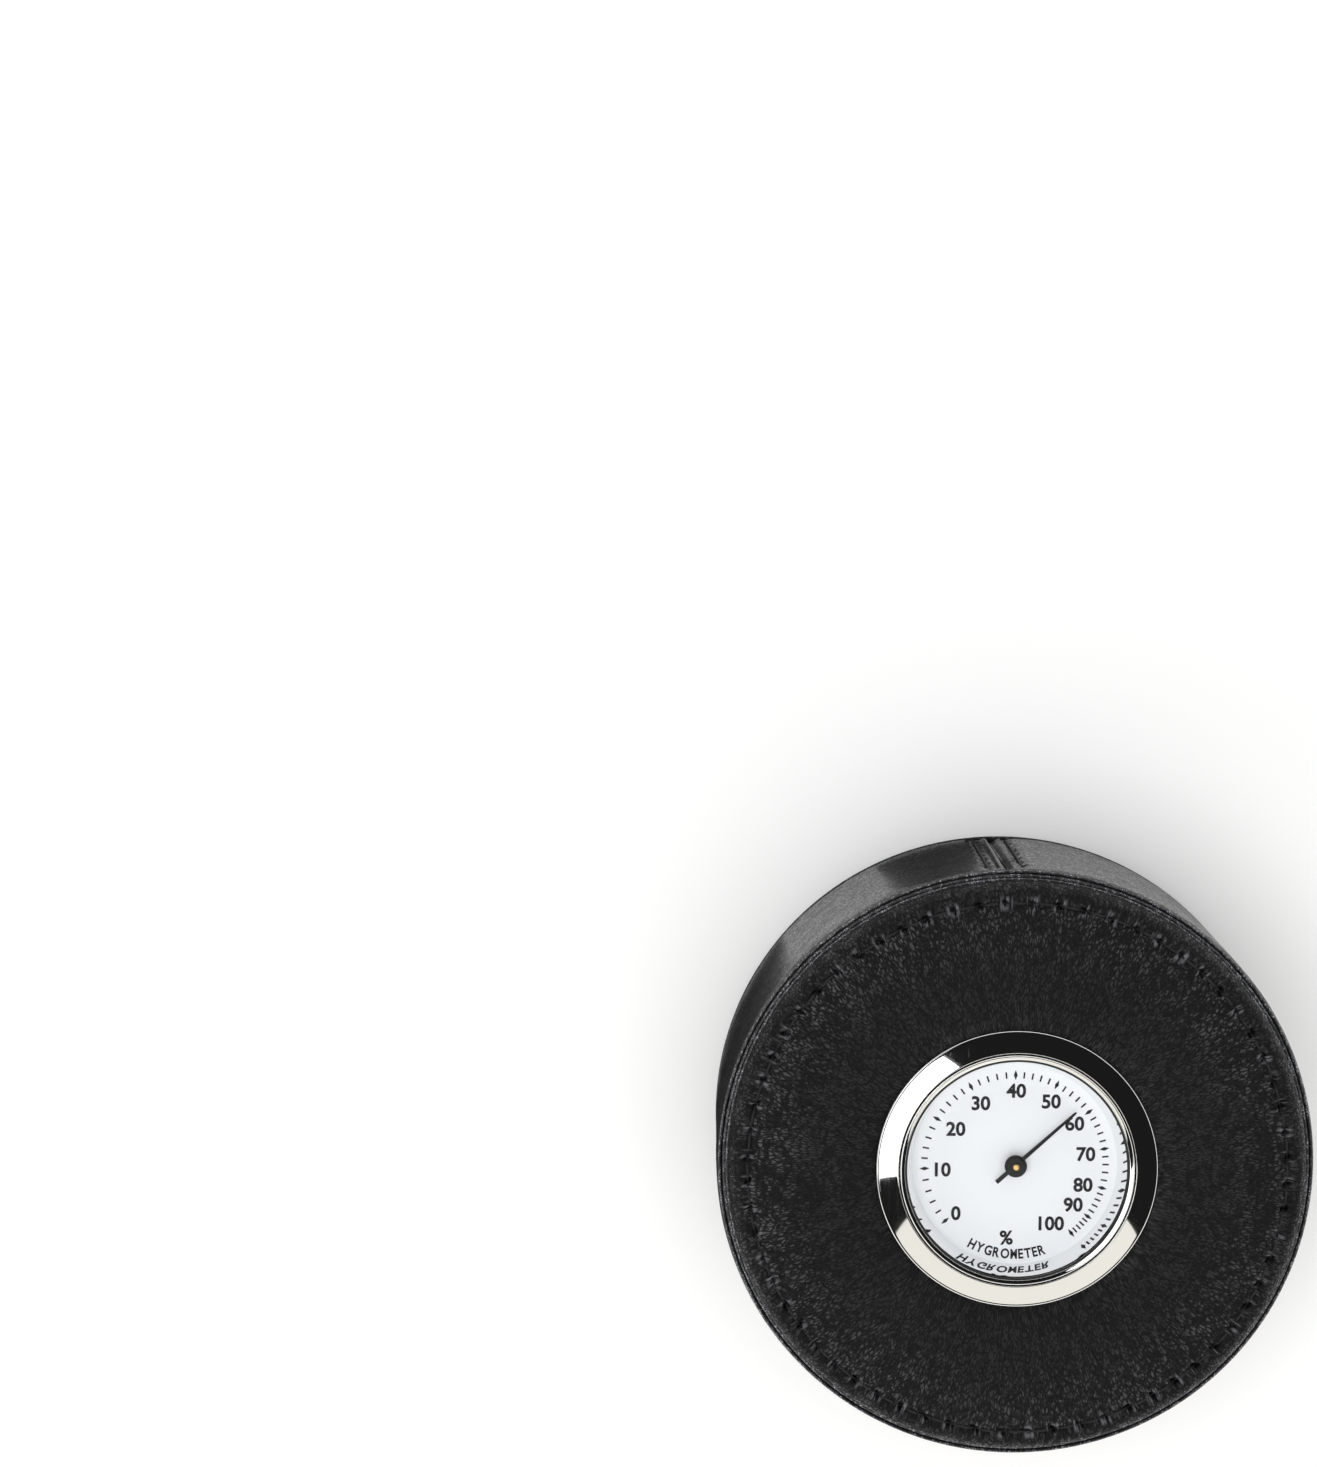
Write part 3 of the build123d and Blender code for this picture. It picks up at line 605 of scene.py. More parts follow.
def round_place_group():
    """Coordinates about the axis, drawn out along the radius, with the radius and angle."""
    wire, given, result = new_group(
        "Round Place",
        (("Coordinates", "v", None), ("Circle", "f", 0.042), ("Draw", "f", 0.55)),
        (("Place", "v"), ("Radius", "f"), ("Angle", "f")),
    )
    flat = wire.product(given["Coordinates"], (1.0, 1.0, 0.0))
    radius = wire.add("ShaderNodeVectorMath", {0: flat}, operation="LENGTH").outputs["Value"]
    way = wire.add("ShaderNodeVectorMath", {0: flat}, operation="NORMALIZE")
    parts = wire.split(way.outputs[0])
    height = wire.split(given["Coordinates"])["Z"]
    drawn = wire.times(wire.maths("SUBTRACT", radius, height), given["Draw"])
    place = wire.add("ShaderNodeCombineXYZ", {
        "X": wire.times(parts["X"], given["Circle"]),
        "Y": wire.times(parts["Y"], given["Circle"]),
        "Z": drawn,
    })
    wire.feed(result["Place"], place.outputs[0])
    wire.feed(result["Radius"], radius)
    wire.feed(result["Angle"], wire.maths("ARCTAN2", parts["Y"], parts["X"]))


def handling_marks_group():
    """Fine scratches and the smears that hands leave."""
    wire, given, result = new_group(
        "Handling Marks",
        (("Coordinates", "v", None), ("Fineness", "f", 1.0)),
        (("Scratches", "f"), ("Smears", "f")),
    )
    place = given["Coordinates"]
    marks = []
    for turn in (0.4, 1.7, 2.6):
        slant = wire.stretched(place, (1.0, 0.03, 0.4), (0.2, 0.1, turn))
        line = wire.noise(slant, wire.times(given["Fineness"], 2600.0), 2.0)
        marks.append(wire.remap(line, 0.66, 0.74))
    deepest = wire.maths("MAXIMUM", marks[0], wire.maths("MAXIMUM", *marks[1:]))
    wire.feed(result["Scratches"], deepest)
    smear = wire.noise(place, wire.times(given["Fineness"], 140.0), 4.0, 0.6, 0.6)
    wire.feed(result["Smears"], wire.remap(smear, 0.4, 0.72))


def turned_lines_group():
    """The fine rings that a lathe tool leaves about the axis."""
    wire, given, result = new_group(
        "Turned Lines",
        (("Coordinates", "v", None), ("Lines", "f", 9000.0)),
        (("Height", "f"),),
    )
    parts = wire.split(given["Coordinates"])
    across = wire.maths("SQRT", wire.maths(
        "ADD", wire.times(parts["X"], parts["X"]), wire.times(parts["Y"], parts["Y"])
    ))
    cut = wire.add("ShaderNodeCombineXYZ", {"X": across, "Y": parts["Z"]}).outputs[0]
    wire.feed(result["Height"], wire.noise(cut, given["Lines"], 2.0, 0.7))


def fibres_group():
    """Short tangled fibres, as in thread, board, felt and foam."""
    wire, given, result = new_group(
        "Fibres",
        (("Coordinates", "v", None), ("Fineness", "f", 1.0), ("Length", "v", (1.0, 1.0, 1.0))),
        (("Height", "f"), ("Tone", "f")),
    )
    drawn = wire.product(given["Coordinates"], given["Length"])
    fine = wire.noise(drawn, wire.times(given["Fineness"], 5200.0), 4.0, 0.65, 1.5)
    broad = wire.noise(drawn, wire.times(given["Fineness"], 420.0), 3.0)
    wire.feed(result["Height"], wire.maths("MULTIPLY_ADD", broad, 0.4, wire.times(fine, 0.6)))
    wire.feed(result["Tone"], wire.remap(broad, 0.3, 0.7))


def wood_grain_group():
    """Open-pored wood with soft bands; the grain runs along the third coordinate."""
    wire, given, result = new_group(
        "Wood Grain",
        (("Coordinates", "v", None), ("Pores", "f", 1.0)),
        (("Bands", "f"), ("Pores", "f"), ("Height", "f")),
    )
    place = given["Coordinates"]
    wavy = wire.stretched(place, (1.0, 1.0, 0.05))
    bands = wire.noise(wavy, 260.0, 4.0, 0.6, 0.7)
    dashes = wire.noise(wire.stretched(place, (1.0, 1.0, 0.045)), 2300.0, 2.0, 0.5)
    breaks = wire.noise(wire.stretched(place, (1.0, 1.0, 0.16)), 900.0, 1.0)
    lines = wire.remap(dashes, 0.58, 0.68)
    pores = wire.times(lines, wire.remap(breaks, 0.42, 0.55))
    pores = wire.maths("MULTIPLY", pores, given["Pores"], clamp=True)
    fine = wire.noise(wire.stretched(place, (1.0, 1.0, 0.02)), 6500.0, 2.0)
    wire.feed(result["Bands"], wire.maths("MULTIPLY_ADD", fine, 0.35, wire.times(bands, 0.65)))
    wire.feed(result["Pores"], pores)
    wire.feed(result["Height"], wire.maths("SUBTRACT", wire.times(fine, 0.3), pores))


# ------------------------------------------------------------------ finishes


def new_finish(name, **constants):
    """A material with one Principled surface, its wiring and its coordinates."""
    finish = bpy.data.materials.new(LOOK + name)
    finish.use_nodes = True
    wire = Wiring(finish.node_tree)
    surface = finish.node_tree.nodes["Principled BSDF"]
    for socket, value in constants.items():
        surface.inputs[socket.replace("_", " ")].default_value = value
    place = wire.add("ShaderNodeTexCoord").outputs["Object"]
    return finish, wire, surface.inputs, place


def rgba(colour, scale=1.0):
    """A colour property as four numbers, lighter or darker by scale."""
    return (*(min(1.0, c * scale) for c in colour), 1.0)


HOLE_HIGHLIGHT_SCALE = 26.0  # how much paler the leather is painted beside the needle holes: a painted highlight on the puckers


def leather_finish(name, colour, painted_highlight, pebbles, creases, depth, polish, worked=None, holes=0):
    """Semi-matt black leather: dull hollows and polished tops, with painted shade in the hollows
    and painted highlights on the tops.

    Where the leather is stitched, worked is the radius of the stitches and holes their number.
    """
    finish, wire, surface, place = new_finish(
        name, Specular_IOR_Level=0.22, Coat_Roughness=0.3, Coat_IOR=1.5 if worked else 1.75
    )
    lively, hole_highlight = 1.0, None
    if worked:
        about = wire.group("Round Place", Coordinates=place, Circle=worked, Draw=0.45)
        place, radius = about["Place"], about["Radius"]
        inside = wire.remap(radius, worked * 0.72, worked * 0.95, 0.12, 1.0)
        outside = wire.remap(radius, worked * 0.995, worked * 1.015, 1.0, 0.3)
        patch = wire.remap(wire.noise(place, 55.0, 2.0), 0.3, 0.65, 0.45, 1.15)
        lively = wire.times(wire.times(inside, outside), patch)
        # Painted highlight: a streaky band beside each needle hole stands in for the shine on the
        # puckers.
        away = wire.maths("ABSOLUTE", wire.maths("SUBTRACT", radius, worked))
        stroke = wire.noise(wire.stretched(place, (1.0, 1.0, 0.3)), 1900.0, 2.0)
        wave = wire.maths("COSINE", wire.times(about["Angle"], float(holes)))
        near = wire.times(
            wire.remap(away, 0.4 * MM, 1.4 * MM, 1.0, 0.0), wire.remap(wave, 0.3, -0.6)
        )
        hole_highlight = wire.times(near, wire.remap(stroke, 0.5, 0.62))
    grain = wire.group("Leather Grain", Coordinates=place, Pebbles=pebbles, Creases=creases)
    # Painted shade and painted highlight: the hollows of the grain are painted darker and the tops
    # paler.
    tone = wire.mix(grain["Tops"], rgba(colour, 0.3), rgba(colour, 1.6))
    # Painted highlights: bright flecks on the pebble tops; on the face they fade towards the ring
    # and outside the stitches as painted shade.
    highlight_flecks = wire.times(wire.remap(grain["Tops"], 0.5, 0.88), lively)
    shade = wire.mix(highlight_flecks, tone, rgba(colour, painted_highlight))
    if worked:
        # The band beside the needle holes is painted paler as a highlight.
        shade = wire.mix(hole_highlight, shade, rgba(colour, HOLE_HIGHLIGHT_SCALE))
    wire.feed(surface["Base Color"], shade)
    wire.feed(surface["Roughness"], wire.remap(grain["Tops"], 0.1, 0.9, 0.75, 0.3))
    wire.feed(surface["Coat Weight"], wire.remap(grain["Tops"], 0.0, 1.0, *polish))
    wire.feed(surface["Normal"], wire.bump(grain["Height"], 1.0, depth))
    return finish


def metal_finish(name, colour, rough, lines=0.0, smears=0.3):
    """Plated or turned metal; lines is the depth of the lathe's rings in millimetres."""
    finish, wire, surface, place = new_finish(name, Metallic=1.0)
    marks = wire.group("Handling Marks", Coordinates=place)
    dull = wire.times(marks["Smears"], smears)
    wire.feed(surface["Base Color"], wire.mix(dull, rgba(colour), rgba(colour, 0.82)))
    dulled = wire.maths("MULTIPLY_ADD", marks["Smears"], 0.1 * smears, rough)
    wire.feed(surface["Roughness"], wire.maths("MULTIPLY_ADD", marks["Scratches"], 0.05, dulled))
    if lines:
        rings = wire.group("Turned Lines", Coordinates=place)
        wire.feed(surface["Normal"], wire.bump(rings["Height"], 0.35, lines))
    return finish


def fibre_finish(name, colour, fineness, length, depth, rough=0.9, **constants):
    """Thread, felt, board or any other fibrous surface."""
    finish, wire, surface, place = new_finish(name, **constants)
    fibres = wire.group("Fibres", Coordinates=place, Fineness=fineness, Length=length)
    shade = wire.mix(fibres["Tone"], rgba(colour, 0.7), rgba(colour, 1.35))
    wire.feed(surface["Base Color"], shade)
    wire.feed(surface["Roughness"], wire.remap(fibres["Height"], 0.3, 0.7, rough - 0.1, rough))
    wire.feed(surface["Normal"], wire.bump(fibres["Height"], 0.8, depth))
    return finish


def wood_finish(name, colour, turn):
    """Unfinished cedar, with the grain turned to run the right way."""
    finish, wire, surface, place = new_finish(name, Specular_IOR_Level=0.35)
    grain = wire.group("Wood Grain", Coordinates=wire.stretched(place, (1, 1, 1), turn))
    light = wire.mix(wire.remap(grain["Bands"], 0.35, 0.65), rgba(colour, 0.72), rgba(colour, 1.25))
    wire.feed(surface["Base Color"], wire.mix(grain["Pores"], light, rgba(colour, 0.22)))
    wire.feed(surface["Roughness"], wire.remap(grain["Bands"], 0.3, 0.7, 0.5, 0.68))
    wire.feed(surface["Normal"], wire.bump(grain["Height"], 0.6, 0.05))
    return finish


def moulded_finish(name, colour, rough, fineness=1.0):
    """Plastic or rubber with the fine texture of its mould."""
    finish, wire, surface, place = new_finish(name)
    marks = wire.group("Handling Marks", Coordinates=place, Fineness=fineness)
    fibres = wire.group("Fibres", Coordinates=place, Fineness=fineness)
    wire.feed(surface["Base Color"], wire.mix(marks["Smears"], rgba(colour), rgba(colour, 1.5)))
    wire.feed(surface["Roughness"], wire.maths("MULTIPLY_ADD", marks["Scratches"], 0.1, rough))
    wire.feed(surface["Normal"], wire.bump(fibres["Height"], 0.25, 0.02))
    return finish


def painted_finish(name, colour, rough, speck=0.02):
    """Smooth paint or ink, with a trace of orange peel."""
    finish, wire, surface, place = new_finish(name, Specular_IOR_Level=0.25)
    peel = wire.noise(place, 1600.0, 2.0)
    tone = wire.noise(place, 90.0, 3.0)
    shade = wire.mix(tone, rgba(colour, 1 - speck), rgba(colour, 1 + speck))
    wire.feed(surface["Base Color"], shade)
    wire.feed(surface["Roughness"], wire.remap(tone, 0.3, 0.7, rough, rough + 0.06))
    wire.feed(surface["Normal"], wire.bump(peel, 0.08, 0.01))
    return finish


def glass_finish():
    """Clear flat glass that lets light straight through to the dial."""
    finish, wire, surface, place = new_finish(
        "clear_glass", Base_Color=(0.985, 0.99, 0.99, 1.0), Transmission_Weight=1.0, IOR=1.22
    )
    marks = wire.group("Handling Marks", Coordinates=place)
    wire.feed(surface["Roughness"], wire.times(marks["Smears"], 0.012))
    light = wire.add("ShaderNodeLightPath").outputs
    wire.clear_where(wire.maths("MAXIMUM", light["Is Shadow Ray"], light["Is Diffuse Ray"]))
    return finish


def make_finishes(scene):
    """Builds the shared groups and every finish."""
    for make_group in (
        leather_grain_group, round_place_group, handling_marks_group, turned_lines_group,
        fibres_group, wood_grain_group,
    ):
        make_group()
    cover, metal, dial, inside = (
        scene.cap_cover, scene.cap_metal, scene.cap_dial, scene.cap_inside
    )
    # The third number of each leather is how bright its painted highlights are.
    leather_finish("leather_face", cover.leather, 11.0, 1850.0, 0.6, 0.3, (0.0, 0.35),
                   cover.stitch_radius, cover.stitches)
    leather_finish("leather_side", cover.leather, 3.0, 1600.0, 0.3, 0.35, (0.4, 1.0))
    # The beads are painted seven times paler than the leather: a painted highlight along them.
    bead_highlight_colour = [7 * c for c in cover.leather]
    leather_finish("leather_edge", bead_highlight_colour, 11.0, 2600.0, 0.2, 0.15, (0.4, 1.0))
    leather_finish("leather_rim", cover.leather, 4.0, 1700.0, 0.5, 0.15, (0.0, 0.4))
    fibre_finish("waxed_thread", cover.thread_colour, 2.0, (1, 1, 1), 0.02, 0.55)
    fibre_finish("skirt_pile", inside.lining, 1.2, (1, 1, 1), 0.1, 1.0, Sheen_Weight=0.25)
    fibre_finish("grey_board", (0.3, 0.24, 0.17), 0.5, (1, 1, 0.4), 0.05, 0.95)
    fibre_finish("foam_sheet", (0.22, 0.22, 0.23), 0.7, (1, 1, 1), 0.15, 1.0)
    fibre_finish("washer_fibre", (0.22, 0.06, 0.04), 0.8, (1, 1, 1), 0.02, 0.7)
    fibre_finish("coil_strip", (0.5, 0.46, 0.36), 0.6, (1, 1, 0.2), 0.02, 0.6, Metallic=0.6)
    wood_finish("cedar_upright", inside.wood, (0.0, 0.0, 0.0))
    wood_finish("cedar_across", inside.wood, (math.pi / 2, 0.0, 0.0))
    metal_finish("bright_chrome", metal.chrome, 0.035, smears=0.12)
    metal_finish("mirror_wall", (0.9, 0.9, 0.9), 0.015, smears=0.05)
    metal_finish("satin_nickel", metal.nickel, 0.28, 0.012, 0.5)
    metal_finish("turned_brass", metal.brass, 0.24, 0.012, 0.6)
    metal_finish("gauze_wire", (0.55, 0.54, 0.5), 0.35, smears=0.6)
    moulded_finish("black_plastic", (0.02, 0.02, 0.02), 0.42)
    moulded_finish("black_rubber", (0.012, 0.012, 0.012), 0.6, 1.6)
    painted_finish("white_enamel", dial.enamel, 0.38, 0.012)
    painted_finish("black_ink", dial.ink, 0.5)
    painted_finish("black_enamel", (0.004, 0.004, 0.004), 0.25)
    glass_finish()


# ------------------------------------------------------------------ leather cover


def hole_angles(count):
    """Angle of each needle hole round the face, midway between the stitches."""
    return [TURN * (i + 0.5) / count for i in range(count)]


HOLE_REACH = 2.4  # distance from a needle hole beyond which the leather lies flat
PADDING_START = 22.1  # radius where the face begins to stand above the flat centre
ROLL_START = 43.6  # radius where the face begins to roll over its edge
SEAM_FOOT, SEAM_LEAD = 4.0, 0.15  # height of the lowest seam stitch and its lead in pitches
SEAM_STITCHES = 7
GROOVE_RADIUS = 46.02  # inner radius of the side leather


def stitch_hole(along, across, cover, seed):
    """Height change of leather near a needle hole, in millimetres."""
    depth, pucker = cover.hole_depth / MM, cover.pucker / MM
    away = math.hypot(along, across)
    if away > HOLE_REACH:
        return 0.0
    lean = 0.6 + 0.3 * math.sin(seed * 7.1)
    slot = along * math.cos(lean) + across * math.sin(lean)
    beside = across * math.cos(lean) - along * math.sin(lean)
    hole = min(1.0, 1.6 * bump_shape(math.hypot(slot * 0.62, beside * 1.3), 0.44))
    pit = -depth * (0.9 + 0.15 * math.sin(seed * 3.7)) * hole
    round_about = math.atan2(across, along)
    first = max(0.0, math.cos(2.5 * round_about + seed * 5.3)) ** 3
    second = max(0.0, math.cos(4.5 * round_about - seed * 2.9)) ** 2
    return pit + pucker * (first + second) * bump_shape(away - 0.95, 0.45) * (1 - hole)


class CAP_OT_face_leather(Operator):
    """Leather over the padded face, with its groove, needle holes and rolled edge"""

    bl_idname = "cap.face_leather"
    bl_label = "Face leather"

    def execute(self, context):
        cover = context.scene.cap_cover
        circle = cover.stitch_radius / MM
        count = cover.stitches
        top = [
            (19.3, 40.12), (21.9, 40.14), (22.25, 40.2), (22.8, 40.42), (23.6, 40.64),
            (25.0, 40.86), (27.0, 40.97), (31.5, 41.0), (36.0, 41.0), (38.5, 40.95),
            (40.3, 40.84), (41.2, 40.64), (41.7, 40.48), (42.0, 40.44), (42.3, 40.47),
            (42.8, 40.6), (43.4, 40.65), (44.0, 40.5), (44.5, 40.1), (44.9, 39.5),
            (45.12, 38.8), (45.18, 38.2), (45.14, 37.8), (45.08, 37.5), (45.05, 37.25),
            (45.0, 37.1), (44.9, 37.06),
        ]
        under = [
            (44.6, 37.08), (44.3, 37.6), (44.1, 38.4), (43.5, 39.1), (42.8, 39.4),
            (42.0, 39.3), (40.0, 39.8), (36.0, 39.98), (27.0, 39.98), (23.8, 39.62),
            (21.9, 39.15), (19.3, 39.15),
        ]
        outline = flowing(top, lambda radius, height: 0.17 if radius > 40.6 else 0.75)
        shown = len(outline)
        outline += under
        angles = []
        for hole in hole_angles(count):
            for step in range(-7, 7):
                share = abs(step + 0.5) / 7
                angles.append(hole + math.copysign(share ** 1.45, step + 0.5) * math.pi / count)

        def shift(radius, height, angle, row):
            if row >= shown or radius < PADDING_START:
                return radius, height
            place = angle / TURN * count - 0.5
            nearest = round(place)
            along = (place - nearest) * TURN * circle / count
            seed = random.Random(nearest % count).random() * 6
            edge = bump_shape(radius - 45.3, 0.5)
            swell = ripple(radius, height, angle, 9.0) * 0.07
            swell += ripple(radius, height, angle, 2.6, 3.0) * 0.03
            if radius > 40.2 and height > 39.8:
                swell += stitch_hole(along, radius - circle, cover, seed)
                between = abs(place - nearest) * 2
                swell -= 0.06 * between * bump_shape(radius - circle, 0.4)
            fine = ripple(radius, height, angle, 0.9, 7.0) * 0.03 * edge
            drop = min(1.0, (radius - PADDING_START) / 1.5)
            lean = min(1.0, max(0.0, (radius - ROLL_START) / 1.4))
            return radius + (fine + swell * 0.5) * lean, height + swell * drop * (1 - lean)

        add_piece(
            "face_cover", revolved(outline, angles, shift), "leather_face",
            "cap", ("face_leather",),
        )
        return {"FINISHED"}


class CAP_OT_side_leather(Operator):
    """Leather round the side, with its butt seam and turned top edge"""

    bl_idname = "cap.side_leather"
    bl_label = "Side leather"

    def execute(self, context):
        cover = context.scene.cap_cover
        rows_at, pitch = cover.seam_rows / MM, cover.seam_pitch / MM
        full = CAP_RADIUS
        outer = [
            (full - 0.12, SIDE_BOTTOM + 0.02), (full - 0.03, SIDE_BOTTOM + 0.4),
            (full, 3.0), (full, 12.0), (full, 22.0), (full, 31.0), (full, 34.0),
            (full - 0.03, 35.0), (full - 0.09, 35.6), (full - 0.18, 36.1),
            (full - 0.32, 36.5), (full - 0.46, 36.66), (full - 0.62, 36.72),
            (full - 0.78, 36.7), (full - 0.9, 36.6),
        ]
        outline = flowing(outer, lambda radius, height: 0.15 if height > 36.2 else 0.26)
        shown = len(outline)
        outline += [(GROOVE_RADIUS, height) for height in (36.3, 24.0, 12.0, SIDE_BOTTOM + 0.02)]
        offsets = [0.15 + 0.2 * i for i in range(26)]
        near = [offset / full for offset in offsets]
        far = [near[-1] + (TURN - 2 * near[-1]) * i / 230 for i in range(1, 230)]
        angles = [cover.seam_angle + a for a in (*near, *far, *(TURN - a for a in reversed(near)))]

        def shift(radius, height, angle, row):
            if row >= shown:
                return radius, height
            around = (angle - cover.seam_angle) % TURN
            signed = around * full if around < math.pi else (around - TURN) * full
            top = min(1.0, max(0.0, (36.4 - height) / 1.5))
            swell = ripple(radius, height, angle, 8.0, 11.0) * 0.07 - 0.1
            swell += ripple(radius, height, angle, 2.2, 5.0) * 0.025
            apart = abs(signed)
            swell -= 0.45 * bump_shape(apart, 3.4)
            if signed > 0:
                swell += 0.44 * bump_shape(signed - 0.75, 0.5)
                swell -= 0.3 * bump_shape(signed, 0.22)
            else:
                swell -= 0.6 * bump_shape(signed + 0.1, 0.7)
                swell += 0.2 * bump_shape(signed + 1.5, 0.5)
            line = apart - rows_at
            swell -= 0.2 * bump_shape(line, 0.55)
            step = (height - SEAM_FOOT + SEAM_LEAD * pitch) / pitch
            if -0.6 < step < SEAM_STITCHES + 0.6:
                nearest = round(step)
                seed = random.Random(100 + nearest + (50 if signed > 0 else 0)).random() * 6
                swell += stitch_hole((step - nearest) * pitch, line, cover, seed) * 0.8
            return radius + swell * top, height

        add_piece(
            "side_cover", revolved(outline, angles, shift, open_ended=True),
            "leather_side", "cap", ("side_leather",),
        )
        return {"FINISHED"}


class CAP_OT_edge_piping(Operator):
    """Leather piping in the groove between the face and the side, and the bound rim"""

    bl_idname = "cap.edge_piping"
    bl_label = "Edge piping and rim"

    def execute(self, context):
        for name, centre, wire, pitch, nodes in (
            ("edge_piping", (45.69, 36.74), 0.32, 0.9, ("edge_welt",)),
            ("side_bead", (46.4, 36.8), 0.22, 0.42, ()),
            ("face_bead", (45.19, 37.26), 0.27, 0.5, ()),
        ):
            count = round(TURN * centre[0] / pitch)
            outline = [
                (centre[0] + wire * math.cos(angle), centre[1] + wire * math.sin(angle))
                for angle in full_turn(12)
            ]

            def pleat(radius, height, angle, row, o=centre, n=count):
                sway = 2 * ripple(o[0], o[1], angle, 1.7, 2.0)
                bulge = 0.97 + 0.06 * math.sin(angle * n + sway) * (0.6 + 0.4 * sway)
                return o[0] + (radius - o[0]) * bulge, o[1] + (height - o[1]) * bulge

            add_piece(
                name, revolved(outline, full_turn(count * 3), pleat),
                "leather_edge", "cap", nodes,
            )
        ring = softened(oblong(43.0, 46.95, 0.0, RIM_TOP), 0.5, 5)

        def pleats(radius, height, angle, row):
            fold = abs(math.sin(angle * 46 + 2 * math.sin(angle * 5)))
            inward = min(1.0, max(0.0, (45.2 - radius) / 2))
            dent = (1 - fold) ** 6 * 0.12 * inward
            lift = 0.03 * ripple(radius, height, angle, 3.0, 9.0)
            low = bump_shape(height, 0.4)
            return radius, max(0.0, height + (dent + abs(lift)) * low)

        ring_rows = flowing([*ring, ring[0]], lambda radius, height: 0.3)[:-1]
        add_piece(
            "rim_cover", revolved(ring_rows, full_turn(720), pleats),
            "leather_rim", "cap", ("rim_binding",),
        )
        return {"FINISHED"}


class CAP_OT_stitching(Operator):
    """Twisted thread of the face stitches and of both rows beside the seam"""

    bl_idname = "cap.stitching"
    bl_label = "Stitching"

    def execute(self, context):
        cover = context.scene.cap_cover
        ply, count = cover.thread / MM, cover.stitches
        circle = cover.stitch_radius / MM
        chance = random.Random(7)
        parts = []
        for hole in hole_angles(count):
            sway = chance.uniform(-0.06, 0.06)
            path = []
            for i in range(29):
                t = i / 28
                turn = hole + t * TURN / count
                ends = abs(2 * t - 1) ** 3
                rise = 40.4 - 0.85 * ends + 0.02 * chance.uniform(-1, 1) * (1 - ends)
                radius = circle + sway * math.sin(math.pi * t)
                path.append(polar(radius, turn, rise))
            parts += twisted(path, ply, 5.5, chance.uniform(0, TURN))
        add_piece(
            "face_thread", joined(parts), "waxed_thread", "cap",
            ("face_stitching",),
        )
        parts = []
        pitch = cover.seam_pitch / MM
        for side in (1, -1):
            turn = cover.seam_angle + side * cover.seam_rows / MM / CAP_RADIUS
            for row in range(SEAM_STITCHES):
                start = SEAM_FOOT - SEAM_LEAD * pitch + row * pitch
                path = []
                for i in range(25):
                    t = i / 24
                    ends = abs(2 * t - 1) ** 7
                    radius = CAP_RADIUS - 0.34 - 0.5 * ends
                    path.append(polar(radius, turn, start + t * pitch))
                parts += twisted(path, ply, 5.5, chance.uniform(0, TURN))
        add_piece(
            "seam_thread", joined(parts), "waxed_thread", "cap",
            ("seam_stitching",),
        )
        return {"FINISHED"}


# ------------------------------------------------------------------ inside of the cap


class CAP_OT_linings(Operator):
    """Pile lining of the skirt, cedar, board, foam and the ring's nut"""

    bl_idname = "cap.linings"
    bl_label = "Linings and board"

    def execute(self, context):
        def nap(radius, height, angle, row):
            return radius + 0.05 * ripple(radius, height, angle, 1.6, 4.0), height

        pile = softened(oblong(43.05, 43.75, RIM_TOP + 0.06, LINING_TOP - 0.02), 0.25, 3)
        pile = flowing([*pile, pile[0]], lambda radius, height: 0.5)[:-1]
        add_piece(
            "skirt_pile", revolved(pile, full_turn(480), nap), "skirt_pile",
            "cap", ("skirt_lining",),
        )
        corners = oblong(39.6, LINER_RADIUS, LINER_BOTTOM, LINER_TOP)
        add_piece(
            "cedar_wall", revolved(softened(corners, 0.5, 4), full_turn(240)),
            "cedar_upright", "cap", ("cedar_liner",), sharp=40,
        )
        foam = [
            (19.3, 38.47), (31.0, 38.47), (43.6, 38.47), (43.3, 38.93), (42.0, 39.26),
            (38.0, 39.8), (32.0, 39.83), (27.0, 39.8), (22.6, 39.03), (19.3, 39.03),
        ]

        def dented(radius, height, angle, row):
            return radius, height - abs(0.05 * ripple(radius, height, angle, 4.0)) * (row > 2)

        pad = add_piece(
            "foam_cushion", revolved(softened(foam, 0.15, 2), full_turn(240), dented),
            "foam_sheet", "cap", ("foam_pad",),
        )
        dress("cedar_ceiling", "cedar_across")
        dress("wall_tube", "grey_board")
        dress("top_board", "grey_board")
        dress("nut_washer", "washer_fibre")
        dress("ring_nut", "black_plastic")
        return {"FINISHED"}


# ------------------------------------------------------------------ metal rings and glass


class CAP_OT_trim_ring(Operator):
    """Chrome ring that covers the cut edge of the face leather"""

    bl_idname = "cap.trim_ring"
    bl_label = "Trim ring"

    def execute(self, context):
        slope = arc((18.6, 41.19), (20.06, 40.829), (21.5, 40.5), 30)
        roll = arc((21.56, 40.49), (21.83, 40.45), (TRIM_RADIUS, 40.3), 8)
        inner_lip = arc((18.46, 41.0), (18.49, 41.14), (18.58, 41.19), 4)
        rest = [
            (TRIM_RADIUS, 40.24), (TRIM_RADIUS - 0.05, 40.21), (19.05, 40.2), (19.0, 40.15),
            (19.0, 29.3), (18.9, 29.2), (18.0, 29.2), (17.9, 29.3),
            (17.9, 38.9), (17.92, 38.95), (18.42, 38.95), (18.45, 38.99),
        ]
        outline = slope + roll + rest + inner_lip
        add_piece(
            "chrome_ring", revolved(outline, full_turn(context.scene.cap_metal.segments)),
            "bright_chrome", "cap", ("trim_ring",), sharp=50,
        )
        return {"FINISHED"}


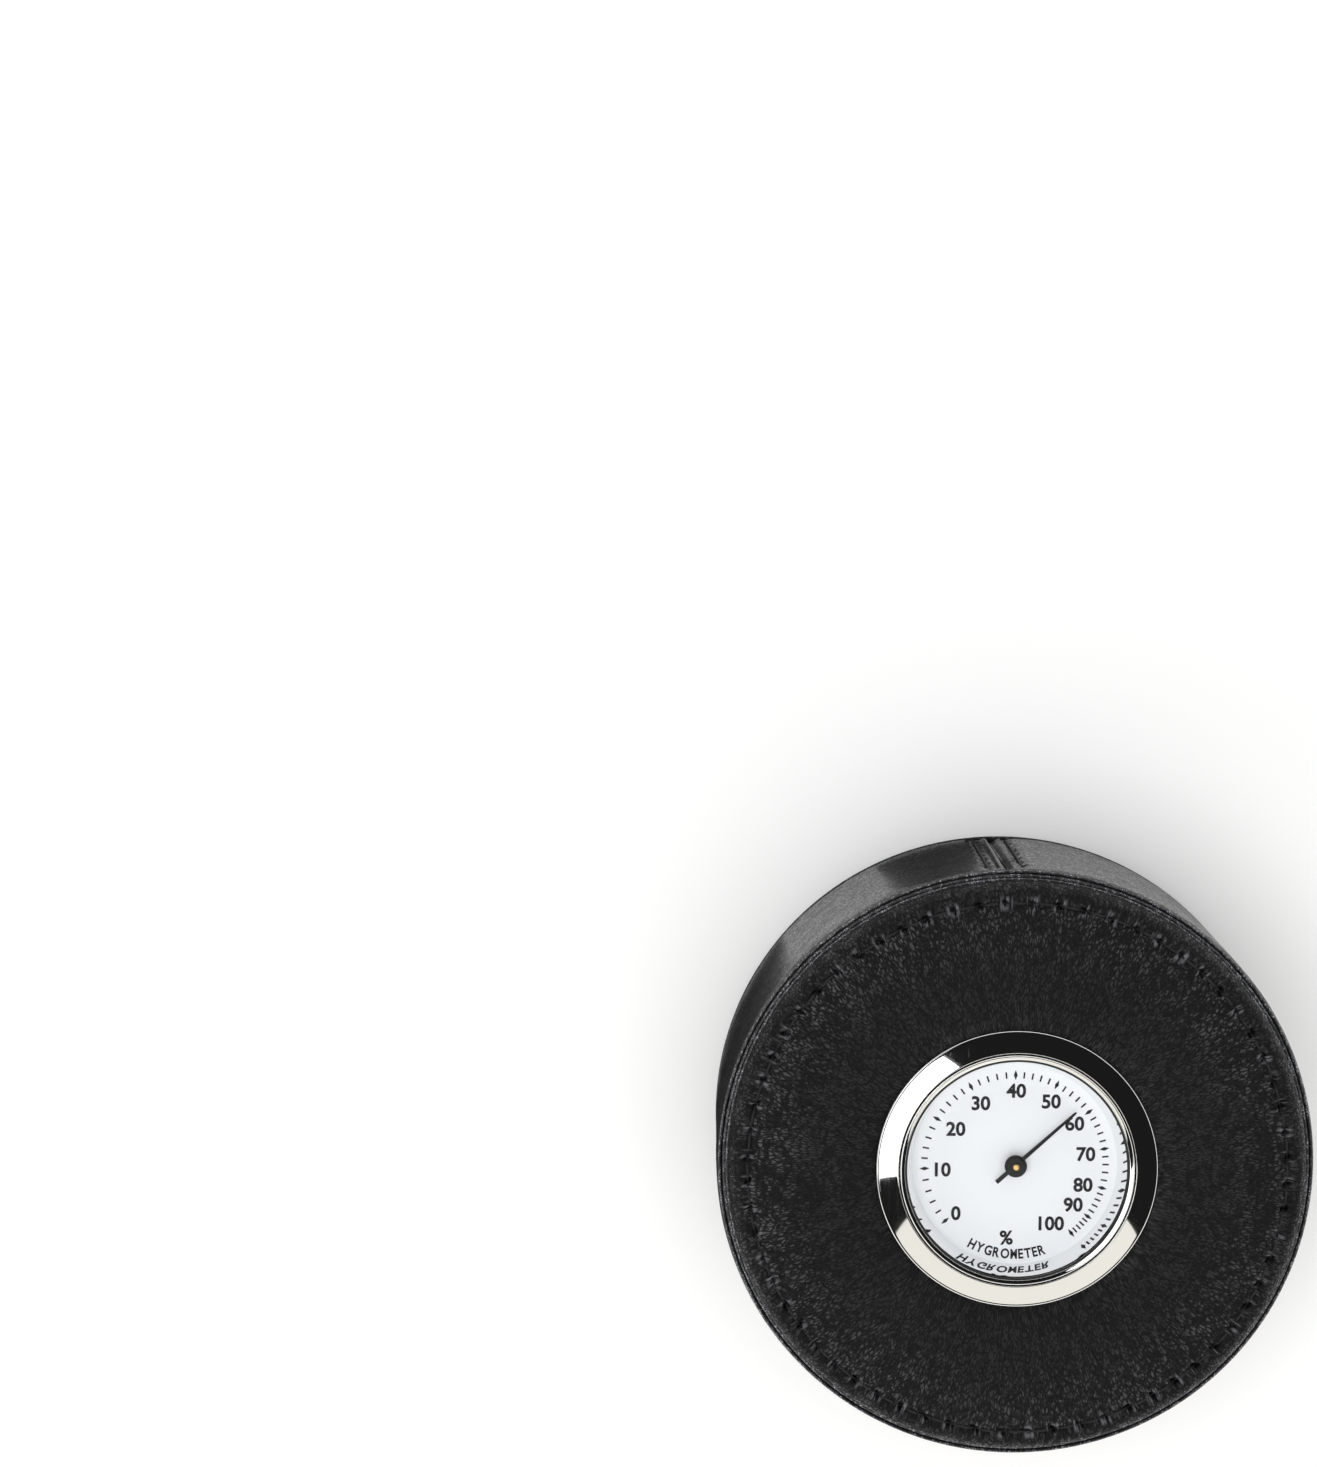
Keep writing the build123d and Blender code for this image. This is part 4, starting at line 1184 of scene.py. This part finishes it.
class CAP_OT_bezel(Operator):
    """Bezel, gasket, glass and the polished wall under the glass"""

    bl_idname = "cap.bezel"
    bl_label = "Bezel and glass"

    def execute(self, context):
        segments = context.scene.cap_metal.segments
        crown = arc((BEZEL_RADIUS - 0.02, 40.98), (18.18, 41.24), (18.04, BEZEL_TOP - 0.01), 8)
        crown += arc((18.0, BEZEL_TOP - 0.015), (17.78, 41.255), (17.56, 41.17), 8)
        lip = arc((17.53, 41.17), (17.49, 41.12), (17.5, 41.07), 4)
        rest = [
            (17.52, 41.05), (17.74, 41.05), (17.75, 41.0), (17.75, 39.05), (17.8, 39.0),
            (BEZEL_RADIUS - 0.06, 39.0), (BEZEL_RADIUS, 39.06), (BEZEL_RADIUS, 40.9),
        ]
        add_piece(
            "bezel_ring", revolved(crown + lip + rest, full_turn(segments)),
            "bright_chrome", "instrument", ("bezel",), sharp=50,
        )
        corners = oblong(17.14, 17.69, 40.92, 41.03)
        add_piece(
            "glass_seal", revolved(softened(corners, 0.05, 3), full_turn(segments)),
            "black_rubber", "instrument", ("crystal_gasket",),
        )
        inner, sheet = 16.0, 0.16
        foot = (inner, WALL_BOTTOM)
        hollow = arc((WALL_RADIUS - sheet, WALL_TOP), (16.585, 38.2), foot, 12)[:-1]
        wall = [foot, (inner + sheet, WALL_BOTTOM), (WALL_RADIUS, WALL_TOP), *hollow]
        add_piece(
            "mirror_wall", revolved(wall, full_turn(segments)),
            "mirror_wall", "instrument", ("polished_wall",), sharp=40,
        )
        rim, low, high = reach("crystal")
        edge = 0.1
        disc = [
            (0.0, low), (4.0, low), (rim - edge, low), (rim, low + edge),
            (rim, high - edge), (rim - edge, high), (4.0, high), (0.0, high),
        ]
        add_piece(
            "glass_disc", pin_shape(disc, segments), "clear_glass",
            "instrument", ("crystal",), sharp=20,
        )
        return {"FINISHED"}


class CAP_OT_case(Operator):
    """Nickel case, its vented back, gauze and the rubber that holds it"""

    bl_idname = "cap.case"
    bl_label = "Case and back"

    def execute(self, context):
        sheet, cup, mouth, step = 0.35, 16.9, 15.5, 35.4
        corners = [
            (mouth, CAN_BOTTOM), (cup, CAN_BOTTOM), (cup, step), (CAN_RADIUS, step),
            (CAN_RADIUS, CAN_TOP), (CAN_RADIUS - sheet, CAN_TOP),
            (CAN_RADIUS - sheet, step + sheet), (cup - sheet, step + sheet),
            (cup - sheet, CAN_BOTTOM + sheet), (mouth, CAN_BOTTOM + sheet),
        ]
        add_piece(
            "case_shell",
            revolved(softened(corners, 0.16, 4), full_turn(context.scene.cap_metal.segments)),
            "satin_nickel", "instrument", ("case_can",), sharp=50,
        )
        corners = oblong(16.93, 17.8, 33.4, 35.0)
        add_piece(
            "grip_ring", revolved(softened(corners, 0.35, 4), full_turn(240)),
            "black_rubber", "instrument", ("friction_ring",),
        )
        pitch = context.scene.cap_inside.gauze_pitch / MM
        middle, wire = (GAUZE_BOTTOM + GAUZE_TOP) / 2, 0.035
        edge, hole = GAUZE_RADIUS - 0.05, 3.05
        parts = []
        lanes = int(edge / pitch)
        for lane in range(-lanes, lanes + 1):
            across = lane * pitch
            half = math.sqrt(max(0.0, edge * edge - across * across))
            gap = math.sqrt(hole * hole - across * across) if abs(across) < hole else 0.0
            spans = [(-half, -gap), (gap, half)] if gap else [(-half, half)]
            for first, last in spans:
                steps = int((last - first) / pitch * 2)
                if steps < 3:
                    continue
                for turned in (False, True):
                    path = []
                    for i in range(steps + 1):
                        along = first + (last - first) * i / steps
                        wave = math.cos(math.pi * (along / pitch + lane + turned))
                        rise = middle + wire * wave
                        path.append((across, along, rise) if turned else (along, across, rise))
                    parts.append(tube(path, wire, 4))
        add_piece(
            "woven_gauze", joined(parts), "gauze_wire", "instrument",
            ("vent_gauze",),
        )
        for node, finish in (
            ("back_cover", "satin_nickel"), ("movement_bridge", "satin_nickel"),
            ("bridge_rivets", "turned_brass"), ("base_plate", "turned_brass"),
            ("front_bush", "turned_brass"), ("rear_bush", "turned_brass"),
            ("calibration_stud", "turned_brass"), ("calibration_arm", "satin_nickel"),
            ("anchor_post", "turned_brass"), ("coil_collet", "turned_brass"),
            ("humidity_coil", "coil_strip"), ("dial_plate", "white_enamel"),
        ):
            dress(node, finish)
        return {"FINISHED"}


# ------------------------------------------------------------------ dial and pointer

TICKS_BETWEEN = 4
MAJOR_ANGLES = (220, 183, 149.5, 119.5, 90, 63, 36, 10, -15.5, -36, -51)
FIGURES = (
    ("0", -9.2, -7.9), ("10", -11.3, -0.9), ("20", -9.3, 5.6), ("30", -5.4, 9.7),
    ("40", 0.1, 11.7), ("50", 5.6, 10.0), ("60", 9.3, 6.5), ("70", 11.1, 1.6),
    ("80", 10.7, -3.3), ("90", 9.2, -6.5), ("100", 5.8, -9.5), ("%", -1.25, -11.8),
)
WORD = "HYGROMETER"
WORD_ARC = (-119.4, -70.6)
NARROW, NARROW_M = 0.8, 0.7  # width of the word's letters against the font's own
PRINT_BOTTOM = DIAL_TOP + 0.006
PRINT_TOP = DIAL_TOP + 0.03


def lettering(text):
    """Flat outline mesh of a text in the built-in font, one unit high or so."""
    curve = bpy.data.curves.new("lettering", "FONT")
    curve.body = text
    curve.resolution_u = 4
    curve.offset = 0.03
    holder = bpy.data.objects.new("lettering", curve)
    bpy.context.scene.collection.objects.link(holder)
    bpy.context.view_layer.update()
    mesh = bpy.data.meshes.new_from_object(holder)
    points = [tuple(v.co) for v in mesh.vertices]
    faces = [tuple(p.vertices) for p in mesh.polygons]
    bpy.data.objects.remove(holder)
    bpy.data.curves.remove(curve)
    bpy.data.meshes.remove(mesh)
    return points, faces


def spread(points):
    """Width, height and middle of some points."""
    xs, ys = [p[0] for p in points], [p[1] for p in points]
    return (
        max(xs) - min(xs), max(ys) - min(ys), (max(xs) + min(xs)) / 2, (max(ys) + min(ys)) / 2
    )


def printed(shape, placing):
    """A flat shape as a thin layer of ink, its points placed by a function."""
    points, faces = shape
    borders = {}
    for face in faces:
        for a, b in zip(face, face[1:] + face[:1]):
            borders[(a, b)] = borders.get((a, b), 0) + 1
    flat = [placing(x, y) for x, y, _ in points]
    count = len(points)
    made = [(x, y, PRINT_BOTTOM) for x, y in flat] + [(x, y, PRINT_TOP) for x, y in flat]
    sheets = list(faces) + [tuple(count + i for i in reversed(face)) for face in faces]
    for a, b in borders:
        if (b, a) not in borders:
            sheets.append((a, b, count + b, count + a))
    return made, sheets


class CAP_OT_dial_print(Operator):
    """Scale marks, numbers and the word on the dial"""

    bl_idname = "cap.dial_print"
    bl_label = "Dial printing"

    def execute(self, context):
        dial = context.scene.cap_dial
        ring = dial.mark_radius / MM
        parts = []

        def mark(corners, degrees):
            placed = turned(corners, math.radians(degrees))
            parts.append(plate(placed, PRINT_BOTTOM, PRINT_TOP))

        diamond = [(ring - 0.8, 0), (ring, -0.3), (ring + 0.8, 0), (ring, 0.3)]
        tick = oblong(ring - 0.5, ring + 0.5, -0.13, 0.13)
        for place, start in enumerate(MAJOR_ANGLES):
            mark(diamond, start)
            for end in MAJOR_ANGLES[place + 1:place + 2]:
                for step in range(1, TICKS_BETWEEN + 1):
                    mark(tick, start + (end - start) * step / (TICKS_BETWEEN + 1))
        scale = dial.figure_height / MM / spread(lettering("0")[0])[1]
        for text, x, y in FIGURES:
            shape = lettering(text)
            middle_x, middle_y = spread(shape[0])[2:]
            parts.append(printed(shape, lambda px, py, mx=middle_x, my=middle_y, cx=x, cy=y: (
                cx + (px - mx) * scale, cy + (py - my) * scale)))
        shapes = []
        for letter in WORD:
            points, faces = lettering(letter)
            narrow = NARROW_M if letter == "M" else NARROW
            shapes.append(([(x * narrow, y, z) for x, y, z in points], faces))
        widths = [spread(shape[0])[0] for shape in shapes]
        cap_height = spread(lettering("H")[0])[1]
        tall = dial.word_height / MM / cap_height
        ring = dial.word_radius / MM
        first, last = (math.radians(a) for a in WORD_ARC)
        length = (last - first) * ring
        space = (length - sum(widths) * tall) / (len(WORD) - 1)
        walked = 0.0
        for shape, width in zip(shapes, widths):
            at = first + (walked + width * tall / 2) / ring
            walked += width * tall + space
            middle_x, middle_y = spread(shape[0])[2], cap_height / 2
            across = Vector((-math.sin(at), math.cos(at)))
            inward = Vector((-math.cos(at), -math.sin(at)))
            centre = -inward * ring

            def placing(px, py, mx=middle_x, my=middle_y, o=centre, a=across, i=inward):
                spot = o + a * (px - mx) * tall + i * (py - my) * tall
                return spot.x, spot.y

            parts.append(printed(shape, placing))
        add_piece(
            "dial_print", joined(parts), "black_ink", "instrument",
            ("scale_marks",), sharp=30,
        )
        return {"FINISHED"}


class CAP_OT_pointer(Operator):
    """Pointer, its hub and the end of its shaft"""

    bl_idname = "cap.pointer"
    bl_label = "Pointer"

    def execute(self, context):
        turn = context.scene.cap_dial.pointer_angle
        hub, half, tip, tail, steps = 1.3, 0.34, 12.7, -4.0, 12
        start = math.asin((half - 0.01) / hub)
        below, above = [
            [
                polar(hub, side + start + (math.pi - 2 * start) * i / steps, 0.0)[:2]
                for i in range(steps + 1)
            ]
            for side in (math.pi, 0.0)
        ]
        point = [(tip - 0.4, -0.19), (tip, -0.1), (tip, 0.1), (tip - 0.4, 0.19)]
        placed = turned([(tail, -half), *below, *point, *above, (tail, half)], turn)
        add_piece(
            "pointer_blade", plate(placed, NEEDLE_BOTTOM, NEEDLE_TOP),
            "black_enamel", "pointer", ("pointer_needle",),
            bevel=0.03, sharp=30,
        )
        corners = [
            (0.51, HUB_BOTTOM), (HUB_RADIUS, HUB_BOTTOM), (HUB_RADIUS, HUB_TOP - 0.25),
            (1.3, HUB_TOP), (0.51, HUB_TOP),
        ]
        add_piece(
            "pointer_boss", revolved(softened(corners, 0.14, 4), full_turn(96)),
            "black_enamel", "pointer", ("pointer_hub",), sharp=50,
        )
        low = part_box("pointer_shaft")[0].z / MM
        corners = [
            (0.0, low), (0.5, low), (0.5, SHAFT_TOP - 0.12), (0.3, SHAFT_TOP), (0.0, SHAFT_TOP)
        ]
        pin = corners[:2] + softened(corners, 0.1, 3)[8:16] + corners[-1:]
        add_piece(
            "pointer_pin", pin_shape(pin), "turned_brass", "pointer",
            ("pointer_shaft",), sharp=40,
        )
        return {"FINISHED"}


def pin_shape(outline, sides=48):
    """A solid pin: an outline that starts and ends on the axis, turned about it."""
    rings = outline[1:-1]
    points = [(0.0, 0.0, outline[0][1])]
    for radius, height in rings:
        for angle in full_turn(sides):
            points.append(polar(radius, angle, height))
    points.append((0.0, 0.0, outline[-1][1]))
    faces = []
    for i in range(sides):
        n = (i + 1) % sides
        faces.append((0, 1 + n, 1 + i))
        for row in range(len(rings) - 1):
            base = 1 + row * sides
            faces.append((base + i, base + n, base + sides + n, base + sides + i))
        base = 1 + (len(rings) - 1) * sides
        faces.append((base + i, base + n, len(points) - 1))
    return points, faces


# ------------------------------------------------------------------ stage

CAMERA_RIGHT = (0.99984, -0.00184, -0.01771)
CAMERA_UP = (0.0, 0.99467, -0.10312)
CAMERA_BACK = (0.01780, 0.10310, 0.99451)
WHITE = (1.0, 1.0, 1.0)
PANEL_HEIGHT, FILL_HEIGHT, CARD_TURN = 0.6, 1.5, -0.042
DARK_FROM, DARK_TO = 0.42, 0.62  # heights in the sky between which the light fades out
BACKDROP = (0.96, 0.96, 0.96)
FLOOR_HOLE, FLOOR_EDGE, FLOOR_SIDES = 0.0445, 6.0, 96
FLAG_START, FLAG_HEIGHT, FLAG_STEPS = 0.0475, 0.0004, 12


class CAP_OT_stage(Operator):
    """Floor, lights, surroundings and camera"""

    bl_idname = "cap.stage"
    bl_label = "Stage"

    def execute(self, context):
        scene = context.scene
        stage = scene.cap_stage
        self.floor(stage)
        self.surroundings(scene, stage)
        self.panel("soft_box", stage.box_light, WHITE, (-0.36, -0.168), (-0.106, 0.2))
        card = self.panel(
            "warm_card", stage.card_light, (1.0, 0.975, 0.9), (-0.7, -0.8), (0.8, -0.317)
        )
        card.rotation_euler.z = CARD_TURN
        black = new_finish("flag_black", Base_Color=rgba((0.002, 0.002, 0.002)), Roughness=1.0)[0]
        self.flag("side_flag", 140, 222, 0.15, black)
        self.flag("seam_flag", 92, 116, 0.095, black)
        fill = self.panel("fill", stage.fill_light, WHITE, (-0.9, -0.9), (0.9, 0.9))
        fill.location.z = FILL_HEIGHT
        fill.visible_glossy = False
        data = bpy.data.cameras.new("camera")
        data.lens = stage.lens
        data.sensor_width = 36
        data.clip_start = 0.01
        camera = put("camera", data)
        turn = Matrix((CAMERA_RIGHT, CAMERA_UP, CAMERA_BACK)).transposed().to_4x4()
        camera.matrix_world = Matrix.Translation(stage.camera_place) @ turn
        scene.camera = camera
        scene.view_settings.view_transform = "Standard"
        return {"FINISHED"}

    def floor(self, stage):
        """A wide pale floor, open under the cap, that can be looked through from below."""
        finish, wire, surface, place = new_finish(
            "pale_floor", Roughness=0.7, Specular_IOR_Level=0.0,
            Emission_Color=rgba(WHITE), Emission_Strength=0.08,
        )
        tone = wire.noise(place, 3.0, 2.0)
        wire.feed(surface["Base Color"], wire.mix(tone, rgba(stage.floor), rgba(stage.floor, 0.99)))
        wire.clear_where(wire.add("ShaderNodeNewGeometry").outputs["Backfacing"])
        sides = FLOOR_SIDES
        points = [
            polar(radius, angle, 0.0)
            for radius in (FLOOR_HOLE, FLOOR_EDGE) for angle in full_turn(sides)
        ]
        faces = [(i, sides + i, sides + (i + 1) % sides, (i + 1) % sides) for i in range(sides)]
        floor = self.sheet("floor", points, faces, finish)

    def sheet(self, name, points, faces, finish):
        """A flat mesh in metres, in the scene, with its finish."""
        mesh = bpy.data.meshes.new(name)
        mesh.from_pydata(points, [], faces)
        mesh.materials.append(finish)
        return put(name, mesh)

    def flag(self, name, first, last, outer, black):
        """A black card on the floor beside the cap that only shows in its shine."""
        points = []
        for edge in (0.0, outer - FLAG_START):
            for i in range(FLAG_STEPS + 1):
                turn = math.radians(first + (last - first) * i / FLAG_STEPS)
                far = FLAG_START + edge * math.sin(math.pi * i / FLAG_STEPS) ** 1.6
                points.append(polar(far, turn, FLAG_HEIGHT))
        over = FLAG_STEPS + 1
        faces = [(i, over + i, over + i + 1, i + 1) for i in range(FLAG_STEPS)]
        card = self.sheet(name, points, faces, black)
        card.visible_camera = False
        card.visible_shadow = False
        card.visible_diffuse = False

    def surroundings(self, scene, stage):
        """Soft light from low all round and a dark ceiling; a pale backdrop for the camera."""
        world = bpy.data.worlds.new("studio")
        scene.world = world
        world.use_nodes = True
        wire = Wiring(world.node_tree)
        heading = wire.add("ShaderNodeTexCoord").outputs["Generated"]
        height = wire.split(heading)["Z"]
        level = wire.remap(
            height, DARK_FROM, DARK_TO, stage.horizon_light, stage.ceiling_light
        )
        seen = wire.add("ShaderNodeLightPath").outputs["Is Camera Ray"]
        unseen = wire.maths("SUBTRACT", 1.0, seen)
        strength = wire.maths("ADD", wire.times(level, unseen), seen)
        back = world.node_tree.nodes["Background"]
        back.inputs["Color"].default_value = rgba(BACKDROP)
        wire.feed(back.inputs["Strength"], strength)

    def panel(self, name, brightness, colour, low, high):
        """A flat soft light overhead, facing down, that the camera does not see."""
        data = bpy.data.lights.new(name, "AREA")
        data.shape = "RECTANGLE"
        data.size, data.size_y = high[0] - low[0], high[1] - low[1]
        data.energy = brightness * math.pi * data.size * data.size_y
        data.color = colour
        light = put(name, data)
        light.location = ((low[0] + high[0]) / 2, (low[1] + high[1]) / 2, PANEL_HEIGHT)
        light.visible_camera = False
        return light


# ------------------------------------------------------------------ panel and registration

MAKERS = (
    CAP_OT_face_leather, CAP_OT_side_leather, CAP_OT_edge_piping, CAP_OT_stitching,
    CAP_OT_linings, CAP_OT_trim_ring, CAP_OT_bezel, CAP_OT_case, CAP_OT_dial_print,
    CAP_OT_pointer, CAP_OT_stage,
)
SETTINGS = (
    ("cap_cover", CoverSettings), ("cap_metal", MetalSettings), ("cap_dial", DialSettings),
    ("cap_inside", InsideSettings), ("cap_stage", StageSettings),
)


class CAP_OT_finishes(Operator):
    """Every material and the node groups that they share"""

    bl_idname = "cap.finishes"
    bl_label = "Finishes"

    def execute(self, context):
        make_finishes(context.scene)
        return {"FINISHED"}


class CAP_PT_pieces(Panel):
    """Lists the pieces and their settings"""

    bl_idname = "CAP_PT_pieces"
    bl_label = "Dial Hygrometer Cap"
    bl_space_type = "VIEW_3D"
    bl_region_type = "UI"
    bl_category = "Hygrometer"

    def draw(self, context):
        layout = self.layout
        for maker in (CAP_OT_finishes, *MAKERS):
            layout.operator(maker.bl_idname)
        for name, kind in SETTINGS:
            box = layout.box()
            settings = getattr(context.scene, name)
            for field in kind.__annotations__:
                box.prop(settings, field)


def register():
    """Registers the settings, the operators and the panel."""
    for name, kind in SETTINGS:
        bpy.utils.register_class(kind)
        setattr(bpy.types.Scene, name, PointerProperty(type=kind))
    for kind in (CAP_OT_finishes, *MAKERS, CAP_PT_pieces):
        bpy.utils.register_class(kind)


def unregister():
    """Takes everything that register added away again."""
    for kind in (CAP_PT_pieces, *reversed(MAKERS), CAP_OT_finishes):
        bpy.utils.unregister_class(kind)
    for name, kind in reversed(SETTINGS):
        delattr(bpy.types.Scene, name)
        bpy.utils.unregister_class(kind)


def main():
    """Builds the whole object."""
    register()
    for maker in (CAP_OT_finishes, *MAKERS):
        group, name = maker.bl_idname.split(".")
        getattr(getattr(bpy.ops, group), name)()


if __name__ == "__main__":
    main()
